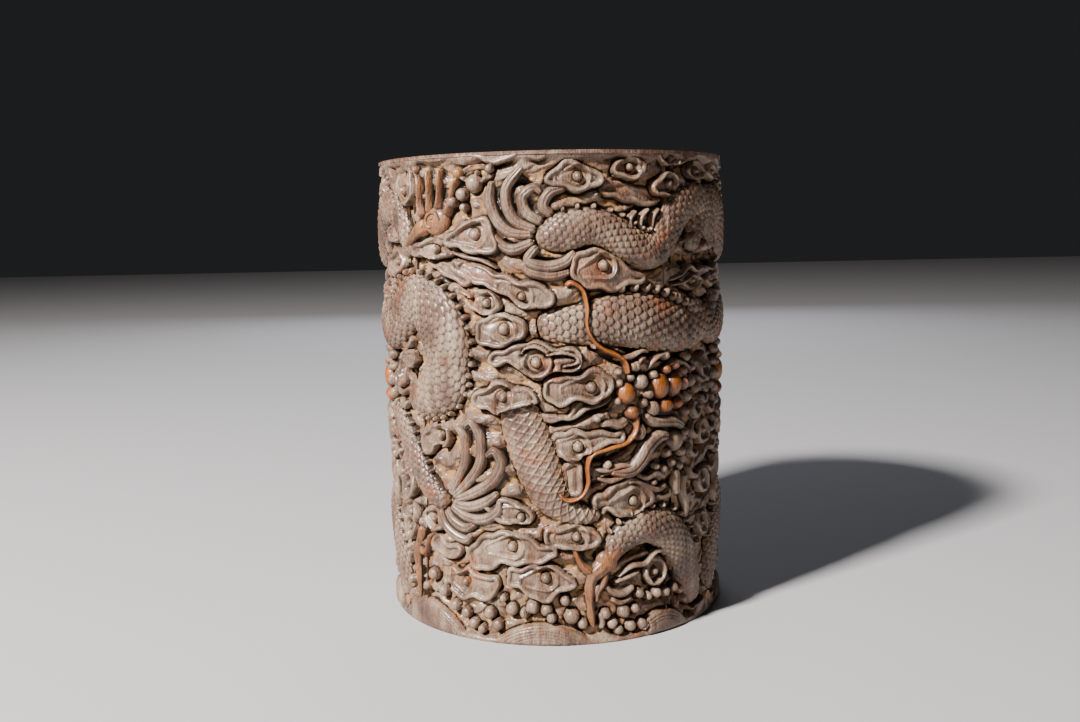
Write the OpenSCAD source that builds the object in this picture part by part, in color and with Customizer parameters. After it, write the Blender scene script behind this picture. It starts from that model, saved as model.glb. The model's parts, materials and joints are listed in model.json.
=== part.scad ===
// Brush pot: a carved bamboo culm with a wooden floor let into its foot.
// The pot stands on the XY plane with its axis on Z, and its front faces -Y.

/* [Culm] */
// Height of the pot
pot_h = 150; // [120:1:180]
// Radius over the high points of the carving, which is also the rim's radius
carved_r = 59; // [49:0.5:71]
// How much smaller the foot's radius is than the rim's
foot_draw_in = 1.6; // [0.5:0.1:3]
// Wall thickness at the rim, from the well to the outer face
wall_t = 11.5; // [9.5:0.5:15]
// Depth of the carved ground below the rim's outer face
relief_depth = 4.5; // [2.5:0.5:5.5]
// Height of the plain lip under the rim
lip_h = 1.5; // [1.5:0.5:5]
// Rounding of the rim's two edges
rim_round = 1; // [0.4:0.1:1.5]
// Height of the plain band at the foot that the floor's pins go through
foot_band_h = 9; // [8:0.5:14]
// Bevel round the outer edge of the foot
foot_bevel = 0.6; // [0.2:0.1:1.2]

/* [Floor] */
// Thickness of the wooden floor disc
floor_t = 7; // [5:0.5:9]
// Height of the floor disc's underside above the table
floor_lift = 2.5; // [1.5:0.5:4]
// Width of the shoulder that the floor disc is pushed up against
shoulder_w = 2.5; // [1.5:0.5:4]
// Bevel round the floor disc's lower edge
floor_bevel = 0.8; // [0.3:0.1:1.5]
// Thickness of the lacquer putty between the floor disc and the wall
putty_t = 0.5; // [0.3:0.1:1]

/* [Pins] */
// Number of bamboo pins that hold the floor disc
pin_count = 3; // [2:1:6]
// Radius of a pin
pin_r = 1.5; // [1:0.1:2.5]
// Length of each pin inside the floor disc
pin_bite = 7; // [4:0.5:12]
// Direction of the first pin, measured round from the front
pin_turn = 60; // [0:5:120]

/* [Carving] */
// How far the highest clouds stand over the carved ground
cloud_rise = 2.8; // [1:0.1:3.5]
// How far the dragons' backs stand over the carved ground
dragon_rise = 3.8; // [1.5:0.1:4.2]
// How deep the carved masses run back into the wall
rooting = 1.5; // [0.5:0.1:2]

/* [Hidden] */

bore_r = carved_r - wall_t;
ground_r = carved_r - relief_depth;
foot_r = carved_r - foot_draw_in;
seat_r = bore_r + shoulder_w;
floor_r = seat_r - putty_t;
floor_top = floor_lift + floor_t;
pin_z = floor_lift + floor_t / 2;
pin_inner = floor_r - pin_bite;
overrun = 1;
fine = 96;

// Motif sizes, in millimetres
eye_r = 1.6;
eye_moat = 1;
corner_gap = 0.1;
// A body is at its full height where half its width is coil_full, and lower by up to coil_taper where it thins
coil_full = 10;
coil_taper = 1.6;

// Carved masses are placed by [degrees round from the front, hundredths of the pot's height].

// Each cloud: degrees, height, radius
CLOUDS = [
    [-24, 84, 5.5], [-8, 71, 6], [-15, 65, 6], [-5, 59, 7], [-16, 52, 6], [11, 54, 6],
    [7, 41, 6], [24, 29.5, 6], [7, 22.5, 5.5], [-16, 20, 6.5], [-5, 13.5, 5], [-31, 12, 5],
    [16, 78, 6], [7, 95, 4.5], [39, 90, 5], [-40, 43, 5.5], [57, 74, 5.5], [-62, 30, 6],
    [88, 88, 6], [104, 60, 6.5], [80, 40, 6], [96, 18, 6], [124, 78, 6], [118, 34, 6],
    [140, 52, 6.5], [156, 88, 5.5], [150, 20, 6], [172, 66, 6], [178, 38, 6], [-164, 84, 6],
    [-156, 22, 6], [-148, 56, 6.5], [-132, 90, 5.5], [-126, 36, 6], [-112, 68, 6], [-104, 16, 6],
    [-96, 48, 6.5], [-86, 88, 6], [-78, 12, 5.5]
];

// Each dragon's back: a row of coils, each [degrees, height, half the body's width]
DRAGONS = [
    [[-10, 84, 3], [4, 85, 4.5], [16, 85.5, 5], [28, 80, 5], [38, 82, 5], [50, 88, 5], [60, 90, 5]],
    [[8, 68, 7], [20, 66, 9], [34, 65, 9], [48, 64, 8], [60, 66, 7], [72, 72, 5]],
    [[-62, 72, 7], [-50, 73, 10], [-40, 67, 10.5], [-37, 58, 10.5], [-46, 50, 9], [-60, 46, 6]],
    [[-62, 43, 4.5], [-56, 38, 5], [-50, 32, 4.5], [-42, 28, 3.5]],
    [[-12, 47, 7], [-8, 38, 8], [-1, 30, 7]],
    [[14, 18, 5], [22, 22, 6.5], [36, 21, 6.5], [47, 16, 6.5], [56, 10, 5]],
    [[78, 60, 5], [90, 72, 7], [104, 76, 8], [116, 66, 8], [122, 54, 8], [136, 42, 7], [152, 40, 5]],
    [[104, 30, 5], [116, 22, 6.5], [130, 22, 7], [142, 30, 7], [158, 30, 6], [170, 22, 5]],
    [[138, 84, 5], [150, 72, 7], [164, 76, 8], [178, 80, 8], [192, 72, 8], [200, 58, 6]],
    [[196, 28, 5], [208, 34, 7], [222, 34, 7.5], [234, 26, 7], [246, 24, 5]],
    [[214, 78, 5], [226, 70, 7], [240, 72, 8], [252, 80, 8], [264, 76, 6], [272, 66, 4.5]],
    [[248, 50, 5], [262, 40, 7], [276, 34, 7.5], [288, 24, 6], [296, 16, 4.5]]
];

// Each head: degrees, height, radius of its brow
HEADS = [[34, 50, 8], [150, 54, 8], [208, 50, 8]];
// The muzzle's distance from the brow and its radius, as shares of the brow's radius
muzzle_reach = 1.1;
muzzle_share = 0.6;
// How much lower the muzzle stands than the brow, and how many hundredths of the height it hangs below it
muzzle_step = 0.7;
muzzle_drop = 1;

// Each wave at the foot: degrees, radius of its crest
WAVES = [
    [-46, 14], [-14, 12], [10, 12], [38, 12], [68, 14], [94, 12], [120, 14],
    [148, 12], [176, 14], [204, 12], [232, 14], [260, 12], [288, 14]
];
// The waves' centres lie this many hundredths of the height below the foot
wave_drop = 5;
wave_inset = 0.4;

// A round boss that stands over the ground, at degrees round and hundredths of the height.
// Its flat end is held back where its corners would pass the rim.
module boss(turn, share, r, rise) {
    end_r = min(ground_r + rise, sqrt(pow(carved_r - corner_gap, 2) - r * r));
    rotate([0, 0, turn])
        translate([0, -ground_r + rooting, share * pot_h / 100])
            rotate([90, 0, 0])
                cylinder(r = r, h = end_r - ground_r + rooting, $fn = fine);
}

// A dragon's back: a row of round coils, lower where the body thins
module dragon_back(row) {
    for (c = row) boss(c[0], c[1], c[2], dragon_rise - coil_taper * (1 - c[2] / coil_full));
}

// The drilled ring round the eye of a cloud
module cloud_eye(turn, share) {
    rotate([0, 0, turn])
        translate([0, -ground_r - cloud_rise - overrun, share * pot_h / 100])
            rotate([-90, 0, 0])
                difference() {
                    cylinder(r = eye_r + eye_moat, h = eye_moat + overrun, $fn = fine);
                    cylinder(r = eye_r, h = eye_moat + overrun, $fn = fine);
                }
}

// A dragon's head: a domed brow and a muzzle towards the left
module head(turn, share, r) {
    muzzle_turn = r * muzzle_reach / ground_r * 180 / PI;
    boss(turn, share, r, dragon_rise);
    boss(turn - muzzle_turn, share - muzzle_drop, r * muzzle_share, dragon_rise - muzzle_step);
}

// A wave that rises from the foot, just under the foot band's own radius
module wave(turn, r) {
    intersection() {
        boss(turn, -wave_drop, r, foot_r - ground_r - wave_inset);
        cylinder(r = 2 * carved_r, h = pot_h);
    }
}

// The upright wall before it is carved: the ground, the lip and the foot band, turned in one
module turned_wall() {
    lip_run = relief_depth / 2;
    rotate_extrude($fn = fine)
        polygon([
            [bore_r, floor_top],
            [seat_r, floor_top],
            [seat_r, 0],
            [foot_r - foot_bevel, 0],
            [foot_r, foot_bevel],
            [foot_r, foot_band_h],
            [ground_r, foot_band_h + foot_r - ground_r],
            [ground_r, pot_h - lip_h - lip_run],
            [carved_r, pot_h - lip_h],
            [carved_r, pot_h - rim_round],
            [carved_r - rim_round, pot_h],
            [bore_r + rim_round, pot_h],
            [bore_r, pot_h - rim_round]
        ]);
}

// Round holes for the pins, from the middle of the floor to past the foot
module pin_holes() {
    each_pin() cylinder(r = pin_r, h = 2 * carved_r, $fn = fine);
}

// Puts a copy of its child along each pin, starting at the pin's inner end
module each_pin() {
    for (i = [0 : pin_count - 1])
        rotate([0, 0, pin_turn + i * 360 / pin_count])
            translate([0, -pin_inner, pin_z])
                rotate([90, 0, 0])
                    children();
}

// The culm: one length of thick bamboo, bored out smooth and carved all round
module culm_wall() color([0.42, 0.29, 0.22]) {
    difference() {
        union() {
            turned_wall();
            for (c = CLOUDS) boss(c[0], c[1], c[2], cloud_rise);
            for (h = HEADS) head(h[0], h[1], h[2]);
            for (w = WAVES) wave(w[0], w[1]);
            for (d = DRAGONS) dragon_back(d);
        }
        for (c = CLOUDS) cloud_eye(c[0], c[1]);
        pin_holes();
    }
}

// The floor: a turned disc of dense hardwood, let in from below against the shoulder
module floor_disc() color([0.27, 0.15, 0.10]) {
    difference() {
        rotate_extrude($fn = fine)
            polygon([
                [0, floor_lift],
                [floor_r - floor_bevel, floor_lift],
                [floor_r, floor_lift + floor_bevel],
                [floor_r, floor_top],
                [0, floor_top]
            ]);
        pin_holes();
    }
}

// Bamboo pins, driven through the foot into the floor's edge and cut off flush
module floor_pins() color([0.60, 0.44, 0.28]) {
    intersection() {
        each_pin() cylinder(r = pin_r, h = 2 * carved_r, $fn = fine);
        cylinder(r = foot_r, h = foot_band_h, $fn = fine);
    }
}

// Lacquer putty that fills the joint round the floor
module lacquer_seam() color([0.12, 0.06, 0.04]) {
    difference() {
        translate([0, 0, floor_lift + floor_bevel])
            cylinder(r = seat_r, h = floor_t - floor_bevel, $fn = fine);
        translate([0, 0, floor_lift])
            cylinder(r = floor_r, h = floor_t + overrun, $fn = fine);
        pin_holes();
    }
}

culm_wall();
floor_disc();
floor_pins();
lacquer_seam();
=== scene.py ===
# Brush pot carved from one length of thick bamboo: dragons among clouds, over waves.
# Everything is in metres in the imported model's own frame. Sizes on the carving are in millimetres.
import json
import math

import bpy
import numpy as np
from mathutils import Matrix, Vector

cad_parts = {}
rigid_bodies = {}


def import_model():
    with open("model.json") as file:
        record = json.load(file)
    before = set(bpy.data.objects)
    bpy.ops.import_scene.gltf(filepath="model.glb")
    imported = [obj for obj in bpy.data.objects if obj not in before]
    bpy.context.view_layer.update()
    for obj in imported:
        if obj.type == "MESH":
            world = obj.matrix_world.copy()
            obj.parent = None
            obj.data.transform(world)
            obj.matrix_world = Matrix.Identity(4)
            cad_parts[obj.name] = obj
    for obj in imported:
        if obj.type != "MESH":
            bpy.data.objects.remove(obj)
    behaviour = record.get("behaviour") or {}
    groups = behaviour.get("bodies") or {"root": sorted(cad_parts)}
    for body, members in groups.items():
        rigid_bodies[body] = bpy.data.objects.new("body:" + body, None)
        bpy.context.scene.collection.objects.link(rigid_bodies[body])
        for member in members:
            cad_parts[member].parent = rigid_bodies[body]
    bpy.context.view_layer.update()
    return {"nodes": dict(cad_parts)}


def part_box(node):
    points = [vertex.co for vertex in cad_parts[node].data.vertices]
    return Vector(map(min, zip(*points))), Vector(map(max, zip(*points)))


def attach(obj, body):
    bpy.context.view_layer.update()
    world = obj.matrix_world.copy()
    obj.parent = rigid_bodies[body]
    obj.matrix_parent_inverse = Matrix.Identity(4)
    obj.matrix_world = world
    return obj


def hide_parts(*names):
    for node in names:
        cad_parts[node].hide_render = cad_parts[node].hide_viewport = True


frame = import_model()


# ---------------------------------------------------------------------------------------------
# The design. The carver draws it on the scraped culm before the first cut. It is laid out flat:
# "along" runs round the pot from the middle of the front, and "up" is the height, both in
# millimetres. The same design goes three times round, and the second time it is turned over.
MM = 0.001
wall_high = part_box("culm_wall")[1]
POT_H = wall_high.z / MM
RIM_R = wall_high.x / MM
# How far the carved ground lies under the highest places, how much smaller the foot is than the rim,
# and the radius that the flat drawing is rolled up on.
CARVE_DEPTH = 4.5
FOOT_DRAW_IN = 1.6
LAYOUT_R = 58.0
ROUND = 2 * math.pi * LAYOUT_R
# Each repeat is how far round it is, and which way along runs in it.
REPEATS = [(0.0, 1), (ROUND / 3, -1), (2 * ROUND / 3, 1)]
CURVE_STEPS = 24


def ground_radius(up):
    """Radius of the carved ground, which draws in a little towards the foot, in millimetres."""
    return RIM_R - CARVE_DEPTH - FOOT_DRAW_IN * (1 - np.asarray(up) / POT_H)


def on_pot(along, up, rise):
    """Points in metres, from millimetres along, up and over the carved ground."""
    turn = np.asarray(along) / LAYOUT_R
    r = ground_radius(up) + rise
    return np.stack([r * np.sin(turn), -r * np.cos(turn), np.asarray(up) + 0 * r], -1) * MM


def smooth_line(points, spacing, closed=False):
    """A smooth curve through the points, whose first two numbers are along and up, sampled evenly."""
    p = np.array(points, float)
    p = np.vstack([p[-1], p, p[0], p[1]]) if closed else np.vstack([p[0], p, p[-1]])
    t = np.linspace(0, 1, CURVE_STEPS, endpoint=False)[:, None]
    parts = []
    for a, b, c, d in zip(p[:-3], p[1:-2], p[2:-1], p[3:]):
        parts.append((2 * b + (c - a) * t + (2 * a - 5 * b + 4 * c - d) * t ** 2
                      + (3 * b - a - 3 * c + d) * t ** 3) / 2)
    line = np.vstack(parts + [p[-2][None] if not closed else p[1][None]])
    run = np.concatenate([[0], np.cumsum(np.hypot(*np.diff(line[:, :2], axis=0).T))])
    count = max(4, int(run[-1] / spacing) + 1)
    even = np.linspace(0, run[-1], count)
    return np.stack([np.interp(even, run, line[:, k]) for k in range(line.shape[1])], 1)


def repeat(points, place):
    """The same points on another side of the pot."""
    shift, way = place
    return [(way * q[0] + shift,) + tuple(q[1:]) for q in points]


# Dragons' bodies: along, up, half the body's width, height of its back over the ground.
BODIES = {
    "high_tail": [(-5, 125, 2.2, 2.8), (0, 125.6, 5, 3.8), (5, 126.8, 6, 4.2), (10, 128, 5.6, 4.3),
                  (15, 127.6, 5.4, 4.4), (20, 125.6, 5.6, 4.4), (25, 122.6, 5.7, 4.4), (30, 120.4, 5.8, 4.4),
                  (35.5, 121.4, 6, 4.4), (39.5, 126.4, 6, 4.4), (44.5, 132, 6, 4.4), (51, 135.2, 5.8, 4.4),
                  (58, 134.6, 5.6, 4.2), (64, 130, 5, 3.8), (67, 124, 4, 3.2), (68, 119, 2.6, 2.2)],
    "long_back": [(-5, 98.2, 3, 1.6), (-1, 98.6, 4.6, 2.1), (5, 98.8, 5.4, 2.5), (11, 99, 6.4, 2.8),
                  (15, 99.4, 7.2, 3.6), (18.6, 99.8, 7.8, 4), (25, 99.9, 8.6, 4.3),
                  (33, 98.6, 8.9, 4.4), (41, 96.6, 8, 4.4), (49, 95.4, 7, 4.3), (57, 96.4, 6, 4.2),
                  (65, 99.4, 5.2, 3.8), (72, 104, 4, 3)],
    "coil_above": [(-68, 99, 4, 2.6), (-62, 103, 6, 3.6), (-55, 106, 7.6, 4.1), (-48, 105.4, 9, 4.4),
                   (-41.6, 101, 10.2, 4.4), (-37.6, 94, 10.2, 4.4), (-36.6, 87.4, 9.4, 4.2),
                   (-37, 82, 7, 3.2)],
    "coil_below": [(-35, 90, 6, 3.2), (-36, 85.4, 8.6, 4.2), (-39, 80.6, 9.6, 4.5), (-44.6, 77, 8.4, 4.4),
                   (-51, 75, 5.4, 3.8), (-57, 73.4, 2.8, 2.6)],
    "left_tail": [(-70, 70, 4.2, 3.4), (-63, 64.8, 5, 4), (-57, 58.8, 5.2, 4.2), (-51.6, 52, 5, 4.3),
                  (-47, 46.8, 4.6, 4.2), (-42, 43.4, 3.8, 3.8), (-37.6, 42.6, 2.2, 2.8)],
    "net_body": [(-12, 74, 6, 1.9), (-11, 70.6, 7, 2.2), (-8.4, 63, 7.9, 2.5), (-5.2, 55, 7.6, 2.6),
                 (-1.8, 47.2, 6.4, 2.5), (3.6, 42, 4.4, 2.3), (10, 40.2, 3, 2.1), (15, 40.8, 1.8, 1.7)],
    "low_arch": [(17, 27, 3.6, 3.4), (20, 30.4, 4.4, 3.9), (24, 33.2, 5, 4.2), (30, 35, 5.6, 4.4),
                 (36, 34.2, 6.3, 4.4), (41, 31, 7, 4.4), (46, 25.4, 7.2, 4.4), (50, 18.6, 7, 4.2),
                 (53, 11.6, 6, 3.8), (55, 5, 4.4, 3)],
}


# ---------------------------------------------------------------------------------------------
# The culm: one length of mature bamboo, sawn between two nodes, bored out smooth, scraped outside
# and cut back 4 to 5 mm round every cloud, pearl and wave. Old, handled and waxed, so it is brown
# all through, with a soft sheen on top, partly painted, and tan dust in the hollows.

# The carving is kept as heights over the ground, on a grid with cells GRID millimetres wide, between
# the plain lip and the plain edge of the foot.
GRID = 0.3
LIP_H = 0.6
FOOT_BAND = 0.8
columns = 2 * int(ROUND / GRID / 2)
rows = int((POT_H - LIP_H - FOOT_BAND) / GRID)
grid_along = (np.arange(columns) / columns - 0.5) * ROUND
grid_up = np.linspace(FOOT_BAND, POT_H - LIP_H, rows)
ALONG, UP = np.meshgrid(grid_along, grid_up)
chance = np.random.default_rng(7)


def drift(waves_round, waves_up, count):
    """Soft random swells that close up round the pot, between about -1 and 1."""
    total = np.zeros_like(ALONG)
    for _ in range(count):
        k = chance.integers(waves_round // 2, waves_round + 1)
        m = chance.choice([-1, 1]) * chance.uniform(0.5, 1) * waves_up / POT_H
        total += np.sin(k * ALONG / LAYOUT_R + 2 * math.pi * m * UP + chance.uniform(0, 6.3))
    return total / math.sqrt(count)


def patch(points, margin):
    """The rows and columns of the grid near some points, with their own along and up."""
    p = np.array([q[:2] for q in points], float)
    first = int((p[:, 0].min() - margin + ROUND / 2) / ROUND * columns)
    last = int((p[:, 0].max() + margin + ROUND / 2) / ROUND * columns) + 1
    low, high = np.searchsorted(grid_up, [p[:, 1].min() - margin, p[:, 1].max() + margin])
    wanted = np.arange(first, last)
    along, up = np.meshgrid((wanted / columns - 0.5) * ROUND, grid_up[low:high])
    return np.ix_(np.arange(low, high), wanted % columns), along, up


def to_line(line, along, up):
    """Distance to a line of points, and where on the line the nearest place is."""
    best = np.full(along.shape, 1e9)
    place = np.zeros(along.shape)
    for i in range(len(line) - 1):
        a, step = line[i, :2], line[i + 1, :2] - line[i, :2]
        length = max(step @ step, 1e-9)
        t = np.clip(((along - a[0]) * step[0] + (up - a[1]) * step[1]) / length, 0, 1)
        d = np.hypot(along - a[0] - t * step[0], up - a[1] - t * step[1])
        near = d < best
        best[near] = d[near]
        place[near] = (i + t)[near]
    return best, place


def inside(line, along, up):
    """How far inside a closed outline each point is, in millimetres, below zero outside."""
    odd = np.zeros(along.shape, bool)
    for (x0, y0), (x1, y1) in zip(line[:-1, :2], line[1:, :2]):
        if y0 != y1:
            odd ^= ((y0 > up) != (y1 > up)) & (along < (x1 - x0) * (up - y0) / (y1 - y0) + x0)
    return np.where(odd, 1, -1) * to_line(line, along, up)[0]


def near_lines(points, spacing, margin):
    """For each copy of a line round the pot: the cells near it, their distance to it, how far along
    the line their nearest place is, from 0 to 1, and the line's own numbers at that place."""
    for place in REPEATS:
        line = smooth_line(repeat(points, place), spacing)
        where, along, up = patch(line, margin)
        d, at = to_line(line, along, up)
        numbers = [np.interp(at, np.arange(len(line)), column) for column in line.T]
        yield where, d, at / (len(line) - 1), numbers


def soft_step(x):
    """0 up to 0 and 1 from 1 on, with a soft bend at both."""
    x = np.clip(x, 0, 1)
    return x * x * (3 - 2 * x)


def round_over(distance, radius):
    """Quarter round: 0 at the edge, 1 from one radius in."""
    s = np.clip(distance / radius, 0, 1)
    return np.sqrt(1 - (1 - s) ** 2)


# Wisps of cloud behind the scrolls: low ledges, one over the next, with crisp wavy edges.
LEDGE_H = 0.6
ledges = np.clip(2.2 + 1.3 * drift(18, 24, 12) + 0.3 * drift(52, 44, 10), 0, 4.9)
carving = 0.2 + LEDGE_H * (np.floor(ledges) + soft_step((ledges % 1 - 0.84) / 0.16))
carving += 0.12 * LEDGE_H * (ledges % 1) + 0.05 * drift(150, 70, 12)


def gouge(points, depth):
    """A deep cut along a line; the third number of each point is half the cut's width."""
    for where, d, _, (_, _, half) in near_lines(points, 0.5, 5):
        carving[where] -= depth * soft_step(half + 0.5 - d)


def cut_round(where, d):
    """The V cut that the knife leaves round a raised shape, wider and deeper under its lower edge."""
    lower = np.clip(np.gradient(d, axis=0) / GRID, 0, 1)
    depth = 0.7 + 1.1 * lower
    width = 0.5 + 0.7 * lower
    carving[where] -= depth * np.exp(-(np.minimum(d, 0) / width) ** 2) * (d < 0)


def lobed(edge, lobe=8.2, depth=1.0):
    """The outline with small round lobes along it that meet in softer notches."""
    step = np.roll(edge, -1, 0) - np.roll(edge, 1, 0)
    area = np.sum(edge[:-1, 0] * edge[1:, 1] - edge[1:, 0] * edge[:-1, 1])
    out = np.stack([step[:, 1], -step[:, 0]], 1) * math.copysign(1, area)
    out /= np.linalg.norm(out, axis=1)[:, None] + 1e-9
    run = np.concatenate([[0], np.cumsum(np.hypot(*np.diff(edge, axis=0).T))])
    lobes = max(3, round(run[-1] / lobe))
    phase = math.pi * lobes * run / run[-1] + 0.9 * np.sin(2 * math.pi * run / run[-1])
    swell = np.sqrt(np.sin(phase) ** 2 + 0.06)
    return edge + out * (min(depth, 0.02 * run[-1]) * (swell - 0.6))[:, None]


# A scroll's profile: how far its upper side leans back, its rolled edge's middle, half width and
# height over the plate, and how much of the eye stays when the cut round it is made.
SCROLL_LEAN = 1.1
ROLL_MIDDLE = 0.75
ROLL_HALF = 0.95
ROLL_H = 1.05
EYE_SHARE = 0.84


def cloud(outline, top, eye=None, tail=None, eye_r=1.9):
    """A cloud scroll: a plate with a rolled edge, which leans back into the wisps above it, and a
    round eye that a curled cut runs round and out to the tail."""
    for place in REPEATS:
        edge = lobed(smooth_line(repeat(outline, place), 0.6, closed=True))
        edge = np.vstack([edge[:-1], edge[:1]])
        where, along, up = patch(edge, 2.5)
        d = inside(edge, along, up)
        cut_round(where, d)
        below = carving[where]
        bottom, height = edge[:, 1].min(), np.ptp(edge[:, 1])
        lean = SCROLL_LEAN * soft_step((up - bottom - 0.45 * height) / (0.55 * height))
        roll = np.sqrt(np.clip(1 - ((d - ROLL_MIDDLE) / ROLL_HALF) ** 2, 0, 1))
        plate = top - 0.6 - lean + ROLL_H * roll + 0.55 * soft_step((d - 1.6) / 3)
        if eye:
            (eye_along, eye_up), = repeat([eye], place)
            (tail_along, tail_up), = repeat([tail], place)
            comma = np.array([(eye_along, eye_up), (tail_along, tail_up)], float)
            to_comma, at = to_line(comma, along, up)
            r = EYE_SHARE * eye_r
            # The bowl round the eye narrows and gets shallower on its way out to the tail.
            bowl = (1 - at) * (r + 1.7) + at * 0.9
            shallow = 1 - 0.8 * soft_step(at)
            hollow = soft_step((bowl - to_comma) / 0.5) * shallow
            curl = np.exp(-((to_comma - bowl) / 0.34) ** 2) * (0.35 + 0.65 * shallow)
            out = np.hypot(along - eye_along, up - eye_up)
            moat = soft_step((r + 0.6 - out) / 0.5)
            lip = np.exp(-((to_comma - bowl - 0.65) / 0.45) ** 2) * (0.35 + 0.65 * shallow)
            plate = plate - 0.9 * hollow - 0.6 * curl - 0.5 * moat + 0.5 * lip
            bead = top - 1.3 + 1.75 * np.sqrt(np.clip(1 - (out / r) ** 2, 0, 1))
            plate = np.where(out < r, np.maximum(plate, bead), plate)
        carving[where] = np.where(d > 0, below + (plate - below) * round_over(d, 0.4), below)


def ridge(points, top, half=0.8):
    """A thin raised line, as along a cloud's lip or a curl, that narrows to both ends."""
    for where, d, share, _ in near_lines(points, 0.5, 4):
        width = half * (1 - 0.6 * np.abs(2 * share - 1) ** 3)
        cut_round(where, width - d)
        crest = top - 1.2 + 1.2 * np.sqrt(np.clip(1 - (d / width) ** 2, 0, 1))
        carving[where] = np.where(d < width, np.maximum(carving[where], crest), carving[where])


# A pearl's height as a share of its radius, and the width of a strand of water, in millimetres.
PEARL_H = 0.95
STRAND = 0.9


def pearl(along_at, up_at, r, top):
    """A drop of foam: a round dome that is cut round deeply."""
    for place in REPEATS:
        (a, u), = repeat([(along_at, up_at)], place)
        where, along, up = patch([(a, u)], r + 3)
        out = np.hypot(along - a, up - u)
        cut_round(where, r - out)
        dome = top - PEARL_H * r + PEARL_H * r * np.sqrt(np.clip(1 - (out / r) ** 2, 0, 1))
        carving[where] = np.where(out < r, np.maximum(dome, carving[where]), carving[where])


def wave(middle, half, crest, strands=7):
    """A swell at the foot: a low arc of water, scored with fine lines along its crest."""
    for place in REPEATS:
        (a, _), = repeat([(middle, 0)], place)
        r = (half ** 2 + crest ** 2) / (2 * crest)
        where, along, up = patch([(a - half, 0), (a + half, crest)], 1.5)
        d = r - np.hypot(along - a, up - crest + r)
        cut_round(where, d)
        lines = 0.16 * np.cos(2 * math.pi * d / STRAND) * soft_step((STRAND * strands - d) / 2)
        water = 2.5 + 1.8 * round_over(d, 5) + lines
        below = carving[where]
        carving[where] = np.where(d > 0, below + (water - below) * round_over(d, 0.6), below)


# The dark pockets, drilled and then opened with a gouge.
gouge([(-15, 137, 0.8), (-10, 142, 1.4), (-6, 140, 1)], 2.2)
gouge([(-17, 134, 0.8), (-14, 129, 0.6)], 2)
gouge([(-14, 124, 0.8), (-8, 121, 0.7)], 2)
gouge([(-9, 119, 0.6), (2, 117.6, 0.8)], 1.8)
gouge([(0, 69, 1), (6, 70.4, 1.8), (11, 73, 2.4), (17, 74, 1.6)], 2.6)
gouge([(12, 92, 0.8), (17, 90, 1.8), (22, 87.4, 1.4)], 2.6)
gouge([(13, 57.6, 1.2), (19, 58.4, 1.3), (26, 62, 1.6), (30, 67, 1.6)], 2.6)
gouge([(12, 50, 0.7), (20, 52, 0.9), (26, 50, 1.4)], 2)
gouge([(20, 26, 1), (26, 29, 2.4), (32, 29, 2), (35, 25, 1.6)], 2.6)
gouge([(-64, 42, 0.8), (-58, 42, 1.2), (-52, 43.4, 1)], 2.2)
gouge([(23, 131, 0.8), (31, 133, 1.4), (36, 130, 1.2)], 2.2)
gouge([(46, 118, 1.6), (52, 116, 2.4), (60, 117, 2)], 2.4)
gouge([(46, 124, 1.4), (53, 126.6, 2), (60, 125, 1.8)], 2.4)
gouge([(22, 92, 1), (34, 88.4, 1.6), (46, 88, 1.6), (56, 88, 1.4)], 2.2)

# Cloud scrolls, from the back to the front.
cloud([(-25, 151), (-21, 147.6), (-16.4, 146.4), (-12, 147.4), (-8.6, 151)], 2.9)
cloud([(-8, 152), (-7, 148.4), (-3, 147.4), (0, 150)], 2.4)
cloud([(13, 152), (15, 148.6), (18.6, 147.8), (22, 150)], 2.3)
cloud([(33, 152), (35, 147.6), (40, 145.6), (46, 146.2), (49, 150)], 2.6, (41, 147.8), (37.6, 148.4), 1.2)
cloud([(-47, 151), (-44, 148.6), (-39, 148.2), (-33, 149), (-31, 151)], 2.3)
cloud([(15, 139), (20, 141.4), (26, 140.6), (32, 138.4), (37, 135), (31, 133.6), (24, 135), (18, 136.6)], 1.9)
cloud([(19, 145), (22, 147.4), (27, 147.8), (31, 146), (30, 143), (27, 141.4), (23, 141.6), (20, 143)], 3,
      (25, 145), (21, 144.6), 1.4)
cloud([(32, 139), (35, 141.6), (38.5, 143.6), (43, 143.4), (47, 141.4), (48, 138.4), (44, 136), (39, 136.4),
       (35, 136.8)], 3.2, (40, 140), (35.4, 138.6), 1.6)
cloud([(-2, 141), (1, 144.6), (4, 147), (8.5, 146.8), (12.5, 145), (16, 142.6), (15.6, 139.8), (11, 138.2),
       (7, 138), (3, 139.4)], 3, (8.4, 142.4), (3, 142), 1.7)
cloud([(48, 145), (53, 147.4), (58, 146.6), (60, 143.4), (55, 141.6), (50, 142.4)], 2.8, (54, 144.4),
      (50.6, 144), 1.3)
cloud([(-62, 145), (-56, 147.6), (-50, 146), (-48.4, 140), (-52, 135.6), (-57, 135), (-62, 138.6)], 3,
      (-55, 140), (-57.6, 144), 1.7)
cloud([(-29, 144), (-25, 146.6), (-20, 146.6), (-17.6, 143.6), (-20.6, 141.6), (-26, 141.4)], 2.4,
      (-23, 144), (-26.6, 144), 1.2)
cloud([(-31, 118.6), (-26, 119), (-21, 116.6), (-16, 114.6), (-10, 112.6), (-4, 111.4), (0.4, 109),
       (0.4, 105.6), (-3, 103.8), (-8, 104), (-12, 106), (-16, 108.6), (-21, 110.4), (-27, 112.6),
       (-31, 115.4)], 2.9, (-9.4, 107.6), (-15.6, 110.6), 1.4)
cloud([(-45, 118.6), (-38, 119), (-31, 116), (-26, 112.4), (-29, 110.6), (-34, 113), (-40, 115.6)], 2.1)
cloud([(-27.6, 107), (-25, 110), (-20.6, 109.6), (-17, 107.6), (-15.6, 104.6), (-18, 102.6), (-22, 102.2),
       (-26, 103.6)], 2.7, (-21, 105.6), (-24.6, 106.4), 1.5)
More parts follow.
